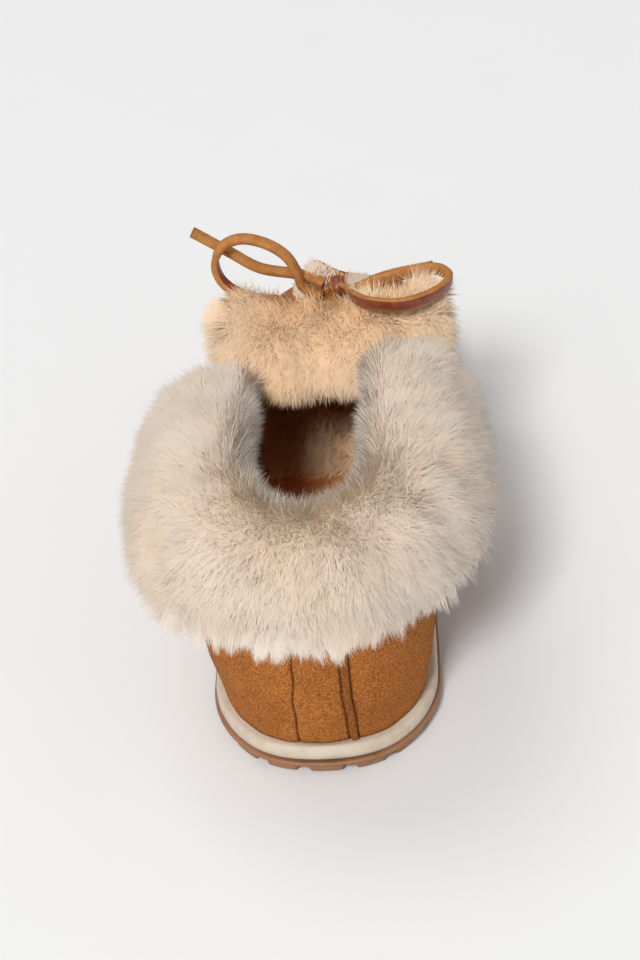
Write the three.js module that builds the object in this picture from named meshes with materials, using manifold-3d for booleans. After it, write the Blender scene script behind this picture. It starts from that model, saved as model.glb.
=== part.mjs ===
// Sheepskin slipper for the left foot: suede upper with a folded fleece cuff, fleece tongue,
// fleece footbed, cream midsole, lugged gum outsole and a thong lace tied in a bow.
// Millimetres. +Y points to the toe, +X to the inner side of the foot, +Z up.

import * as THREE from 'three';
import { mergeVertices } from 'three/addons/utils/BufferGeometryUtils.js';
import Module from 'manifold-3d';

const wasm = await Module();
wasm.setup();

// Driving dimensions
const LENGTH = 234;
const CLEARANCE = 0.3;
const FLEECE_CLEARANCE = 0.5;
const OUTSOLE_HEIGHT = 4.8;
const MIDSOLE_HEIGHT = 5.2;
const LEDGE = 2.5;
const WALL = 7.5;
const FOOTBED_HEIGHT = 7;
const HEEL_ROUNDING = { reach: 36, power: 2.1 };
const TOE_ROUNDING = { reach: 60, power: 2.2 };
const CROWN_ROUNDING = { reach: 50, power: 2.2 };
const TOE_SPRING = { from: 158, height: 7 };
const HEEL_RISE = { to: 9, height: 1.6 };
const ARCH = { from: 80, to: 126, height: 2.2 };
const SECTION_SQUARENESS = { across: 2.6, upward: 2.1 };
const BELLY = { out: 4.4, height: 74, fadeFrom: 60, fadeTo: 170 };
const HEEL_LEAN = { forward: 4, fadeTo: 80 };
const ROOF = { from: 60, to: 135 };

// The last, one row for each section across the foot: centre line, half-width to each side of it
// before the ends are rounded, and rise of the closed form above the sole edge.
const LAST = [
  { y: 0, centre: 0, lateral: 34, medial: 34, rise: 175 },
  { y: 38, centre: 0, lateral: 35, medial: 35, rise: 166 },
  { y: 72, centre: 0.6, lateral: 35, medial: 33.6, rise: 138 },
  { y: 98, centre: 1.8, lateral: 35.6, medial: 32.4, rise: 106 },
  { y: 120, centre: 3, lateral: 38, medial: 34.4, rise: 83 },
  { y: 142, centre: 4.2, lateral: 41.5, medial: 38.5, rise: 66 },
  { y: 172, centre: 5.2, lateral: 44, medial: 41.5, rise: 46.5 },
  { y: 202, centre: 6.6, lateral: 44.5, medial: 42.5, rise: 34.5 },
  { y: 234, centre: 8.4, lateral: 42, medial: 42, rise: 27 },
];

// Height of the collar edge, falling to the throat where the vamp closes
const TOPLINE = [
  { y: 0, z: 87 },
  { y: 55, z: 86.5 },
  { y: 95, z: 85 },
  { y: 120, z: 80.5 },
  { y: 148, z: 71.5 },
  { y: 234, z: 60 },
];

// Folded cuff, one row for each place along the collar from the heel to its front end:
// height of the outer hem and of the inner hem, and how far the pile stands out and in.
const CUFF_FRONT = 100;
const CUFF_CROWN = 12;
const CUFF = {
  lateral: [
    { y: 0, hem: 68, inner: 68, out: 17, in: 7 },
    { y: 16, hem: 60, inner: 68, out: 19.5, in: 7 },
    { y: 45, hem: 48, inner: 67, out: 22.5, in: 7.5 },
    { y: 78, hem: 49, inner: 68, out: 22.5, in: 7.5 },
    { y: 100, hem: 54, inner: 72, out: 20, in: 6 },
  ],
  medial: [
    { y: 0, hem: 68, inner: 68, out: 17, in: 7 },
    { y: 16, hem: 63, inner: 68, out: 19, in: 7 },
    { y: 45, hem: 53, inner: 67, out: 21.5, in: 7.5 },
    { y: 78, hem: 52, inner: 68, out: 23, in: 7.5 },
    { y: 100, hem: 54, inner: 72, out: 21, in: 6 },
  ],
};

// Outline of the cuff's section: share of the pile outward (or inward, below zero) and share of
// the height from the outer hem (or the inner hem) to the crown.
const CUFF_OUTLINE = [
  { reach: 0.3, height: 0.0 },
  { reach: 0.72, height: 0.05 },
  { reach: 0.96, height: 0.24 },
  { reach: 1.0, height: 0.48 },
  { reach: 0.86, height: 0.74 },
  { reach: 0.5, height: 0.93 },
  { reach: 0.0, height: 1.0 },
  { reach: -0.45, height: 0.94 },
  { reach: -0.9, height: 0.72 },
  { reach: -1.0, height: 0.42 },
  { reach: -0.55, height: 0.0 },
];
const CUFF_LINING_STEPS = 3;

// Tongue, one row for each place up its front face: the face's middle and its half-width
const TONGUE_THICKNESS = 13;
const TONGUE_BOW = 3;
const TONGUE = [
  { centre: 4.6, y: 152, z: 61.6, half: 14 },
  { centre: 4.2, y: 141, z: 65, half: 13.5 },
  { centre: 3.8, y: 132.5, z: 70.2, half: 12.5 },
  { centre: 3.8, y: 127.4, z: 77.5, half: 13 },
  { centre: 4.2, y: 125.4, z: 82.6, half: 15.5 },
  { centre: 4.8, y: 123.8, z: 88.2, half: 25.5 },
  { centre: 5.8, y: 122.6, z: 92.2, half: 35 },
  { centre: 6, y: 121.4, z: 97, half: 38 },
  { centre: 6, y: 120.6, z: 101.5, half: 35.5 },
];

// Leather thong, as points on its middle line from the left end to the right
const THONG = 3.6;
const THONG_SIDES = 8;
const KNOT = { centre: [8.5, 131.6, 91.8], half: [5.2, 3.2, 3.4], rings: 8 };
const LACE_ROUTES = {
  lace_bar: [
    [-25.4, 121.3, 74.2], [-24.2, 124.4, 79], [-17.5, 127.6, 83.6], [-7, 128.6, 86], [8, 129.2, 86.6],
    [19, 128.4, 85.2], [27.2, 125.5, 80], [30.4, 121.4, 74.2],
  ],
  lace_loop_left: [
    [2, 130.9, 90.2], [-3.2, 131, 94], [-4.7, 132, 99], [-8.2, 134, 104.5], [-14.8, 136, 108.3],
    [-22.6, 137, 109.7], [-28.7, 136, 107.6], [-31.3, 134, 102.8], [-29.5, 132, 97], [-23.7, 129.6, 93.2],
    [-16, 128.4, 91.2], [-6, 127.8, 90.3],
  ],
  lace_end_left: [
    [3.6, 133.2, 93.4], [-4, 135.4, 95.6], [-17.1, 138, 97.2], [-26.6, 140.8, 102], [-38.6, 142.4, 109.8],
  ],
  lace_loop_right: [
    [14.5, 131, 91.8], [22.2, 131, 94.8], [33.8, 129, 98.8], [41.3, 126, 101.4], [44.9, 120, 102.2],
    [42.4, 112, 103.6], [36, 105.4, 105], [29, 103, 105.6], [22, 106, 105.8], [16.6, 113, 105.8],
    [12.4, 121.4, 105], [10, 127.6, 100.4], [8.9, 131, 96],
  ],
  lace_end_right: [
    [13.7, 134.6, 89.9], [25.5, 136, 93], [39.6, 133.4, 97.4],
  ],
};
const STEPS_PER_POINT = 2;

// Tread
const NOTCH = { width: 3.6, inward: 9, depth: 2.1, pitch: 14.5 };
const GROOVE = {
  width: 3.2,
  depth: 1.8,
  margin: 14,
  heel: [24, 40, 56],
  forefoot: [138, 154, 170, 186, 202],
};
const SOLE_DRAFT = 1.0;

// Side of the midsole from its bottom to its top: how far it stands out, at a share of its height
const MIDSOLE_SIDE = [
  { out: -0.4, height: 0 },
  { out: 0.6, height: 0.3 },
  { out: 0.4, height: 0.7 },
  { out: -0.7, height: 1 },
];

// Stations along the foot, closer together towards the throat
const HEEL_STATIONS = 30;
const THROAT_CROWDING = 1.4;
const TOE_STATIONS = 18;
const WALL_LEVELS = 7;
const SIDES = { lateral: -1, medial: 1 };
const SAME_POINT = 1e-3;

const clamp = THREE.MathUtils.clamp;
const smoothstep = THREE.MathUtils.smoothstep;

// Smooth curve through one column of a table
function readTable(rows, column, y) {
  const last = rows.length - 1;
  if (y <= rows[0].y) return rows[0][column];
  if (y >= rows[last].y) return rows[last][column];
  const i = rows.findIndex((row) => row.y > y) - 1;
  const slopeAt = (k) => {
    const before = rows[Math.max(k - 1, 0)];
    const after = rows[Math.min(k + 1, last)];
    return (after[column] - before[column]) / (after.y - before.y);
  };
  const span = rows[i + 1].y - rows[i].y;
  const t = (y - rows[i].y) / span;
  const rest = 1 - t;
  const ends = rows[i][column] * (1 + 2 * t) * rest * rest + rows[i + 1][column] * (3 - 2 * t) * t * t;
  return ends + span * t * rest * (slopeAt(i) * rest - slopeAt(i + 1) * t);
}

// Share of the full size near a rounded end, from 0 at the end to 1 past its reach
function roundedEnd(distance, { reach, power }) {
  const inward = clamp(distance / reach, 0, 1);
  return (1 - (1 - inward) ** power) ** (1 / power);
}

const alongAt = (theta) => (LENGTH / 2) * (1 - Math.cos(theta));

// Edge of the sole seen from above; theta runs from 0 at the heel to PI at the toe
function soleEdge(side, theta) {
  const y = alongAt(theta);
  const rounding = roundedEnd(y, HEEL_ROUNDING) * roundedEnd(LENGTH - y, TOE_ROUNDING);
  const half = readTable(LAST, side, y) * rounding;
  return new THREE.Vector2(readTable(LAST, 'centre', y) + SIDES[side] * half, y);
}

// Outward direction of the sole's edge, seen from above
function edgeNormal(side, theta) {
  const turn = 1e-3;
  if (theta < turn) return new THREE.Vector2(0, -1);
  if (theta > Math.PI - turn) return new THREE.Vector2(0, 1);
  const along = soleEdge(side, theta + turn).sub(soleEdge(side, theta - turn));
  return new THREE.Vector2(SIDES[side] * along.y, -SIDES[side] * along.x).normalize();
}

const grownEdge = (side, theta, grow) => soleEdge(side, theta).addScaledVector(edgeNormal(side, theta), grow);

// Lowest height of the sole: flat under heel and ball, lifted at the heel's back and the toe
function groundLine(y) {
  const toe = clamp((y - TOE_SPRING.from) / (LENGTH - TOE_SPRING.from), 0, 1);
  const heel = clamp((HEEL_RISE.to - y) / HEEL_RISE.to, 0, 1);
  return TOE_SPRING.height * toe ** 2 + HEEL_RISE.height * heel ** 2;
}

function archLift(y) {
  const share = clamp((y - ARCH.from) / (ARCH.to - ARCH.from), 0, 1);
  return ARCH.height * Math.sin(Math.PI * share) ** 2;
}

const midsoleBottom = (y) => groundLine(y) + OUTSOLE_HEIGHT + CLEARANCE;
const midsoleTop = (y) => midsoleBottom(y) + MIDSOLE_HEIGHT;
const featherLine = (y) => midsoleTop(y) + CLEARANCE;

// Rise of the closed form above the feather line, grown or shrunk by an offset
function riseAt(theta, grow) {
  const y = alongAt(theta);
  const roof = smoothstep(y, ROOF.from, ROOF.to);
  return (readTable(LAST, 'rise', y) + grow * roof) * roundedEnd(LENGTH - y, CROWN_ROUNDING);
}

// Point of the upper's form at an angle of its arch (0 at the feather line, PI/2 on the spine)
function formPoint(side, theta, angle, grow) {
  const y = alongAt(theta);
  const lift = Math.sin(angle) ** (2 / SECTION_SQUARENESS.upward);
  const spread = Math.max(Math.cos(angle), 0) ** (2 / SECTION_SQUARENESS.across);
  const height = riseAt(theta, grow) * lift;
  const belly = BELLY.out * Math.sin(Math.PI * clamp(height / BELLY.height, 0, 1));
  const offset = grow - LEDGE + belly * (1 - smoothstep(y, BELLY.fadeFrom, BELLY.fadeTo));
  const edge = grownEdge(side, theta, offset);
  const other = grownEdge(side === 'lateral' ? 'medial' : 'lateral', theta, offset);
  const spine = new THREE.Vector2(readTable(LAST, 'centre', y), (edge.y + other.y) / 2);
  const plan = spine.lerp(edge, spread);
  const lean = HEEL_LEAN.forward * (height / BELLY.height) ** 2 * (1 - smoothstep(y, 0, HEEL_LEAN.fadeTo));
  return new THREE.Vector3(plan.x, plan.y + lean, featherLine(y) + height);
}

// Angle of the arch at which the form reaches a height
function angleAtHeight(theta, z, grow) {
  const rise = riseAt(theta, grow);
  const share = rise > 0 ? clamp((z - featherLine(alongAt(theta))) / rise, 0, 1) : 0;
  return Math.asin(share ** (SECTION_SQUARENESS.upward / 2));
}

const pointAtHeight = (side, theta, z, grow) => formPoint(side, theta, angleAtHeight(theta, z, grow), grow);

// Station at which the collar closes over the instep
function findThroat() {
  const halvings = 40;
  let open = 0;
  let closed = Math.PI;
  for (let i = 0; i < halvings; i += 1) {
    const theta = (open + closed) / 2;
    const y = alongAt(theta);
    const gap = featherLine(y) + riseAt(theta, 0) - readTable(TOPLINE, 'z', y);
    if (gap > 0) open = theta;
    else closed = theta;
  }
  return closed;
}

const THROAT = findThroat();
const STATIONS = [
  ...Array.from({ length: HEEL_STATIONS }, (_, i) => (
    THROAT * (1 - (1 - i / HEEL_STATIONS) ** THROAT_CROWDING))),
  ...Array.from({ length: TOE_STATIONS + 1 }, (_, i) => THROAT + ((Math.PI - THROAT) * i) / TOE_STATIONS),
];

function collarAngle(theta) {
  if (theta >= THROAT) return Math.PI / 2;
  return angleAtHeight(theta, readTable(TOPLINE, 'z', alongAt(theta)), 0);
}

// Triangle mesh that shares its corners and drops faces without area
class Skin {
  constructor() {
    this.corners = [];
    this.faces = [];
    this.known = new Map();
  }

  corner(point) {
    const key = point.toArray().map((value) => Math.round(value / SAME_POINT)).join(' ');
    if (!this.known.has(key)) {
      this.known.set(key, this.corners.length);
      this.corners.push(point.clone());
    }
    return this.known.get(key);
  }

  triangle(a, b, c) {
    const [i, j, k] = [a, b, c].map((point) => this.corner(point));
    if (i !== j && j !== k && k !== i) this.faces.push([i, j, k]);
  }

  quad(a, b, c, d) {
    this.triangle(a, b, c);
    this.triangle(a, c, d);
  }

  // Joins two rows of points of the same length
  strip(lower, upper) {
    for (let i = 0; i + 1 < lower.length; i += 1) this.quad(lower[i], lower[i + 1], upper[i + 1], upper[i]);
  }

  // Six times the enclosed volume, below zero where the faces look inward
  sixfoldVolume() {
    return this.faces.reduce((sum, face) => {
      const [a, b, c] = face.map((i) => this.corners[i]);
      return sum + a.dot(b.clone().cross(c));
    }, 0);
  }

  geometry() {
    const faces = this.sixfoldVolume() < 0 ? this.faces.map(([i, j, k]) => [i, k, j]) : this.faces;
    const geometry = new THREE.BufferGeometry();
    const coordinates = this.corners.flatMap((p) => p.toArray());
    geometry.setAttribute('position', new THREE.Float32BufferAttribute(coordinates, 3));
    geometry.setIndex(faces.flat());
    return geometry;
  }
}

// Closed plate between levels, each level a function of side and station
function layeredPlate(levels) {
  const skin = new Skin();
  const rows = levels.map((level) => ({
    lateral: STATIONS.map((theta) => level('lateral', theta)),
    medial: STATIONS.map((theta) => level('medial', theta)),
  }));
  const bottom = rows[0];
  const top = rows[rows.length - 1];
  skin.strip(bottom.lateral, bottom.medial);
  skin.strip(top.medial, top.lateral);
  for (let i = 0; i + 1 < rows.length; i += 1) {
    skin.strip(rows[i].medial, rows[i + 1].medial);
    skin.strip(rows[i + 1].lateral, rows[i].lateral);
  }
  return skin.geometry();
}

// Level of a sole layer: its offset from the sole's edge and its height at each place
function soleLevel(grow, heightAt) {
  return (side, theta) => {
    const edge = grownEdge(side, theta, grow);
    return new THREE.Vector3(edge.x, edge.y, heightAt(alongAt(theta)));
  };
}

function toSolid(geometry) {
  const plain = geometry.clone();
  plain.deleteAttribute('normal');
  plain.deleteAttribute('uv');
  const merged = mergeVertices(plain, SAME_POINT);
  return new wasm.Manifold(new wasm.Mesh({
    numProp: 3,
    vertProperties: new Float32Array(merged.attributes.position.array),
    triVerts: new Uint32Array(merged.index.array),
  }));
}

function toGeometry(solid) {
  const mesh = solid.getMesh();
  const geometry = new THREE.BufferGeometry();
  geometry.setAttribute('position', new THREE.BufferAttribute(mesh.vertProperties, 3));
  geometry.setIndex(new THREE.BufferAttribute(mesh.triVerts, 1));
  return geometry;
}

// Cutter for the tread: reaches from below the ground to a depth above the sole's lowest line
function treadCutter(length, width, depth, place, heading) {
  const below = 3;
  const cutter = new THREE.BoxGeometry(length, width, depth + below);
  cutter.rotateZ(heading);
  cutter.translate(place.x, place.y, groundLine(place.y) + (depth - below) / 2);
  return toSolid(cutter);
}

// Notches around the sole's edge at an even pitch, leaving the lugs between them
function edgeNotches() {
  const notches = [];
  const fineSteps = 600;
  for (const side of Object.keys(SIDES)) {
    let run = NOTCH.pitch / 2;
    let before = soleEdge(side, 0);
    for (let i = 1; i < fineSteps; i += 1) {
      const theta = (Math.PI * i) / fineSteps;
      const edge = soleEdge(side, theta);
      run += edge.distanceTo(before);
      before = edge;
      if (run >= NOTCH.pitch) {
        run -= NOTCH.pitch;
        const normal = edgeNormal(side, theta);
        notches.push(treadCutter(2 * NOTCH.inward, NOTCH.width, NOTCH.depth, edge, normal.angle()));
      }
    }
  }
  return notches;
}

// Grooves across the heel and the ball, short of the lugs at the edge
function crossGrooves() {
  return [...GROOVE.heel, ...GROOVE.forefoot].map((y) => {
    const theta = Math.acos(1 - (2 * y) / LENGTH);
    const left = soleEdge('lateral', theta).x + GROOVE.margin;
    const right = soleEdge('medial', theta).x - GROOVE.margin;
    const middle = new THREE.Vector2((left + right) / 2, y);
    return treadCutter(right - left, GROOVE.width, GROOVE.depth, middle, 0);
  });
}

function outsoleGeometry() {
  const plate = layeredPlate([
    soleLevel(-SOLE_DRAFT, (y) => groundLine(y) + archLift(y)),
    soleLevel(0, (y) => groundLine(y) + OUTSOLE_HEIGHT),
  ]);
  const cutters = [...edgeNotches(), ...crossGrooves()];
  return toGeometry(cutters.reduce((solid, cutter) => solid.subtract(cutter), toSolid(plate)));
}

function midsoleGeometry() {
  return layeredPlate(MIDSOLE_SIDE.map(({ out, height }) => (
    soleLevel(out, (y) => midsoleBottom(y) + MIDSOLE_HEIGHT * height))));
}

// Footbed inside the upper's wall, thinning out where the toe closes down on it
function insoleGeometry() {
  const grow = -WALL - FLEECE_CLEARANCE;
  const roomAtToe = 0.42;
  const level = (share) => (side, theta) => {
    const thickness = Math.min(FOOTBED_HEIGHT, roomAtToe * riseAt(theta, grow));
    return pointAtHeight(side, theta, featherLine(alongAt(theta)) + thickness * share, grow);
  };
  return layeredPlate([level(0), level(0.5), level(1)]);
}

// Hollow upper: outer form, inner form, the rim on the sole and the rim of the collar
function upperGeometry() {
  const skin = new Skin();
  const throatIndex = STATIONS.indexOf(THROAT);
  const gridFor = (side, grow) => STATIONS.map((theta) => {
    const top = collarAngle(theta);
    return Array.from({ length: WALL_LEVELS + 1 }, (_, j) => (
      formPoint(side, theta, (top * j) / WALL_LEVELS, grow)));
  });
  for (const side of Object.keys(SIDES)) {
    const outer = gridFor(side, 0);
    const inner = gridFor(side, -WALL);
    const face = (a, b, c, d) => (side === 'medial' ? skin.quad(a, b, c, d) : skin.quad(d, c, b, a));
    for (let i = 0; i + 1 < STATIONS.length; i += 1) {
      for (let j = 0; j < WALL_LEVELS; j += 1) {
        face(outer[i][j], outer[i + 1][j], outer[i + 1][j + 1], outer[i][j + 1]);
        face(inner[i][j + 1], inner[i + 1][j + 1], inner[i + 1][j], inner[i][j]);
      }
      face(outer[i][0], inner[i][0], inner[i + 1][0], outer[i + 1][0]);
      if (i < throatIndex) {
        const top = WALL_LEVELS;
        face(outer[i][top], outer[i + 1][top], inner[i + 1][top], inner[i][top]);
      }
    }
  }
  return skin.geometry();
}

// Section of the cuff at one station: the pile's outline, then the slot that takes the wall
function cuffSection(side, theta) {
  const y = alongAt(theta);
  const read = (column) => readTable(CUFF[side], column, y);
  const rim = readTable(TOPLINE, 'z', y);
  const crown = rim + CUFF_CROWN;
  const outerFace = FLEECE_CLEARANCE;
  const innerFace = -WALL - FLEECE_CLEARANCE;
  const middle = (outerFace + innerFace) / 2;
  const place = (grow, z) => {
    const base = pointAtHeight(side, theta, Math.min(z, rim), grow);
    return base.setZ(z);
  };
  const outline = CUFF_OUTLINE.map(({ reach, height }) => {
    const hem = reach >= 0 ? read('hem') : read('inner');
    const z = hem + (crown - hem) * height;
    if (reach === 0) return place(middle, z);
    return place(reach > 0 ? outerFace + read('out') * reach : innerFace + read('in') * reach, z);
  });
  const slotFlare = 2;
  const slot = (grow, from, to) => Array.from({ length: CUFF_LINING_STEPS + 1 }, (_, i) => (
    place(grow, from + ((to - from) * i) / CUFF_LINING_STEPS)));
  const roof = rim + FLEECE_CLEARANCE;
  const innerSide = slot(innerFace, read('inner') + slotFlare, roof);
  const outerSide = slot(outerFace, roof, read('hem') + slotFlare);
  return [...outline, ...innerSide, ...outerSide];
}

function cuffGeometry() {
  const skin = new Skin();
  const reached = STATIONS.filter((theta) => alongAt(theta) <= CUFF_FRONT);
  const sections = [
    ...reached.slice(1).reverse().map((theta) => cuffSection('lateral', theta)),
    ...reached.map((theta) => cuffSection('medial', theta)),
  ];
  const ring = (section) => [...section, section[0]];
  for (let i = 0; i + 1 < sections.length; i += 1) skin.strip(ring(sections[i]), ring(sections[i + 1]));
  // A triangle with its corners in the outline's own order turns the same way as the outline
  const closeEnd = (section, alongOutline) => {
    const flat = section.map((p) => new THREE.Vector2(p.x, p.z));
    for (const face of THREE.ShapeUtils.triangulateShape(flat, [])) {
      const [first, second, third] = [...face].sort((i, j) => i - j).map((i) => section[i]);
      if (alongOutline) skin.triangle(first, second, third);
      else skin.triangle(third, second, first);
    }
  };
  closeEnd(sections[0], false);
  closeEnd(sections[sections.length - 1], true);
  return skin.geometry();
}

// Tongue: a padded sheet that starts under the vamp, leaves through the throat and stands up
function tongueGeometry() {
  const skin = new Skin();
  const columns = 10;
  const edgeThinning = 0.5;
  const last = TONGUE.length - 1;
  const inwardAt = (i) => {
    const below = TONGUE[Math.max(i - 1, 0)];
    const above = TONGUE[Math.min(i + 1, last)];
    return new THREE.Vector3(0, below.z - above.z, above.y - below.y).normalize();
  };
  const rowPoints = (i, depthShare) => Array.from({ length: columns + 1 }, (_, k) => {
    const across = (2 * k) / columns - 1;
    const depth = TONGUE_THICKNESS * (1 - edgeThinning * across ** 4) * depthShare;
    const { centre, y, z, half } = TONGUE[i];
    const face = new THREE.Vector3(centre + half * across, y, z);
    return face.addScaledVector(inwardAt(i), TONGUE_BOW * across ** 2 + depth);
  });
  const front = TONGUE.map((_, i) => rowPoints(i, 0));
  const back = TONGUE.map((_, i) => rowPoints(i, 1));
  for (let i = 0; i < last; i += 1) {
    skin.strip(front[i + 1], front[i]);
    skin.strip(back[i], back[i + 1]);
    skin.quad(front[i + 1][0], front[i][0], back[i][0], back[i + 1][0]);
    skin.quad(front[i][columns], front[i + 1][columns], back[i + 1][columns], back[i][columns]);
  }
  skin.strip(front[0], back[0]);
  skin.strip(back[last], front[last]);
  return skin.geometry();
}

function thongGeometry(route) {
  const section = new THREE.Shape(Array.from({ length: THONG_SIDES }, (_, i) => {
    const turn = (2 * Math.PI * i) / THONG_SIDES;
    return new THREE.Vector2(Math.cos(turn), Math.sin(turn)).multiplyScalar(THONG / 2);
  }));
  const curve = new THREE.CatmullRomCurve3(route.map((point) => new THREE.Vector3(...point)));
  const steps = STEPS_PER_POINT * (route.length - 1);
  return new THREE.ExtrudeGeometry(section, { steps, extrudePath: curve });
}

function knotGeometry() {
  const geometry = new THREE.SphereGeometry(1, 3 * KNOT.rings / 2, KNOT.rings);
  geometry.scale(...KNOT.half);
  geometry.translate(...KNOT.centre);
  return geometry;
}

const gumRubber = new THREE.MeshStandardMaterial({ color: 0x9a6e4e, roughness: 0.75, metalness: 0 });
const creamFoam = new THREE.MeshStandardMaterial({ color: 0xd3c4b7, roughness: 0.7, metalness: 0 });
const suede = new THREE.MeshStandardMaterial({ color: 0x9d6030, roughness: 0.95, metalness: 0 });
const fleece = new THREE.MeshStandardMaterial({ color: 0xd8c3ae, roughness: 1, metalness: 0 });
const thongLeather = new THREE.MeshStandardMaterial({ color: 0x9a5426, roughness: 0.5, metalness: 0 });

const slipper = new THREE.Group();

function addPiece(name, geometry, material) {
  const mesh = new THREE.Mesh(geometry, material);
  mesh.name = name;
  slipper.add(mesh);
}

addPiece('outsole', outsoleGeometry(), gumRubber);
addPiece('midsole', midsoleGeometry(), creamFoam);
addPiece('insole', insoleGeometry(), fleece);
addPiece('upper', upperGeometry(), suede);
addPiece('cuff', cuffGeometry(), fleece);
addPiece('tongue', tongueGeometry(), fleece);

// The origin lies under the middle of the shoe, measured without its lace
const box = new THREE.Box3().setFromObject(slipper);
const middle = box.getCenter(new THREE.Vector3());
slipper.position.set(-middle.x, -middle.y, -box.min.z);

for (const [name, route] of Object.entries(LACE_ROUTES)) addPiece(name, thongGeometry(route), thongLeather);
addPiece('lace_knot', knotGeometry(), thongLeather);

export default slipper;
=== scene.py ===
"""Sheepskin slipper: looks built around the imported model.

Sizes are millimetres in the maker's own frame (heel back at y = 0, toe at +Y, inner side at +X,
floor at z = 0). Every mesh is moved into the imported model's frame, in metres, when it is made.
"""

import logging
import math
from dataclasses import dataclass, replace
from enum import Enum
from typing import Any, Callable, Optional, Sequence, Union

import bmesh
import bpy
import numpy as np
from mathutils import Matrix, Vector, kdtree


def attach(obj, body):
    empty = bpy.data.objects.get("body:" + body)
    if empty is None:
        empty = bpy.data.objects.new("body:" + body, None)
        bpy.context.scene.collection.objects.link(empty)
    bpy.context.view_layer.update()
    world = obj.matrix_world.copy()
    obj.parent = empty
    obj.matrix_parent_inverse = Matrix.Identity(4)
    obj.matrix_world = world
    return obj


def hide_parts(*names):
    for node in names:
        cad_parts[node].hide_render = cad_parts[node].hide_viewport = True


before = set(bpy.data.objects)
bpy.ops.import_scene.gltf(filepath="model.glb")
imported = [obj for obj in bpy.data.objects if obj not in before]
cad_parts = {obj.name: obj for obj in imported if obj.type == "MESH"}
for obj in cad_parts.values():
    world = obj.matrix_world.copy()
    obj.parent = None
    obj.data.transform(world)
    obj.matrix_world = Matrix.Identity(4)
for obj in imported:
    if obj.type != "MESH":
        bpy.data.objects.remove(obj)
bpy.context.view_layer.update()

log = logging.getLogger("slipper")
SHIFT = np.array([0.7463, -110.6303, 0.0])
MM = 0.001
BODY = "root"
PALETTE_MAP = "OFBake"
JOIN = 0.02
SLIVER_SHARE = 0.1
STRAND_HEIGHTS = (0.02, 0.5, 0.5, 0.98)
PALETTE_STEP = 0.012
Colour = tuple[float, float, float]


class Slot(Enum):
    """Slots for finishes."""

    SUEDE = "suede"
    CUFF = "cuff_fleece"
    FOOTBED = "footbed_fleece"
    MIDSOLE = "cream_midsole"
    RUBBER = "gum_rubber"
    THONG = "thong_leather"


class FarEnd(Enum):
    """What a run of the lace ends at."""

    OBJECT = "object"
    BARE = "bare"


class Lay(Enum):
    """How a run of the lace lies."""

    TAUT = "taut"
    LOOSE = "loose"


def to_frame(points: np.ndarray) -> np.ndarray:
    """Moves maker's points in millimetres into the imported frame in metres."""
    return (np.asarray(points, float) + SHIFT) * MM


def unit(vectors: np.ndarray) -> np.ndarray:
    """Scales each vector to length one."""
    return vectors / np.maximum(np.linalg.norm(vectors, axis=-1, keepdims=True), 1e-9)


def smooth(low: float, high: float, value: np.ndarray) -> np.ndarray:
    """Smooth step from 0 at low to 1 at high."""
    t = np.clip((value - low) / (high - low), 0, 1)
    return t * t * (3 - 2 * t)


def hermite(knots: Sequence[float], values: Sequence[float], at: np.ndarray) -> np.ndarray:
    """Reads a smooth curve through a table's column.

    Args:
        knots: Places of the table's rows, rising.
        values: The column's value in each row.
        at: Places to read.

    Returns:
        The curve's value at each place, flat beyond the ends.
    """
    x, v = np.asarray(knots, float), np.asarray(values, float)
    row = np.arange(len(x))
    before, after = np.maximum(row - 1, 0), np.minimum(row + 1, len(x) - 1)
    slope = (v[after] - v[before]) / (x[after] - x[before])
    at = np.clip(at, x[0], x[-1])
    i = np.clip(np.searchsorted(x, at, side="right") - 1, 0, len(x) - 2)
    span = x[i + 1] - x[i]
    t = (at - x[i]) / span
    r = 1 - t
    ends = v[i] * (1 + 2 * t) * r * r + v[i + 1] * (3 - 2 * t) * t * t
    return ends + span * t * r * (slope[i] * r - slope[i + 1] * t)


def run_length(points: np.ndarray) -> np.ndarray:
    """Distance along a line of points, from its start to each of them."""
    return np.concatenate([[0], np.cumsum(np.linalg.norm(np.diff(points, axis=0), axis=1))])


def grid_normals(grid: np.ndarray) -> np.ndarray:
    """Direction square to a grid of points at each of them."""
    return unit(np.cross(np.gradient(grid, axis=0), np.gradient(grid, axis=1)))


def ripple(points: np.ndarray, wavelength: float, seed: int, waves: int = 7) -> np.ndarray:
    """Smooth seeded noise, about -1 to 1, made of plane waves in random directions.

    Args:
        points: Places, in millimetres.
        wavelength: Typical distance from crest to crest.
        seed: Seed of the waves.
        waves: Number of waves.

    Returns:
        One value for each point.
    """
    random = np.random.default_rng(seed)
    heading = unit(random.normal(size=(waves, 3)))
    pitch = 2 * np.pi / (wavelength * random.uniform(0.7, 1.6, waves))
    phase = random.uniform(0, 2 * np.pi, waves)
    total = sum(np.sin(points @ heading[k] * pitch[k] + phase[k]) for k in range(waves))
    return total / math.sqrt(waves)


# Shader nodes


class Flow:
    """A node's output that takes part in Python arithmetic."""

    def __init__(self, maker: "Finish", socket: Any) -> None:
        """Keeps the finish that makes nodes, and the socket."""
        self.maker = maker
        self.socket = socket

    def _math(self, operation: str, first: Any, second: Any) -> "Flow":
        """Adds one Math node."""
        return self.maker.node("ShaderNodeMath", {"operation": operation}, {0: first, 1: second})

    def __add__(self, other: Any) -> "Flow":
        """Sum."""
        return self._math("ADD", self, other)

    def __sub__(self, other: Any) -> "Flow":
        """Difference."""
        return self._math("SUBTRACT", self, other)

    def __rsub__(self, other: Any) -> "Flow":
        """Difference from a plain number."""
        return self._math("SUBTRACT", other, self)

    def __mul__(self, other: Any) -> "Flow":
        """Product."""
        return self._math("MULTIPLY", self, other)

    __radd__ = __add__
    __rmul__ = __mul__

    def clip(self) -> "Flow":
        """Value held between 0 and 1."""
        return self.maker.node("ShaderNodeClamp", {}, {"Value": self})


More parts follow.
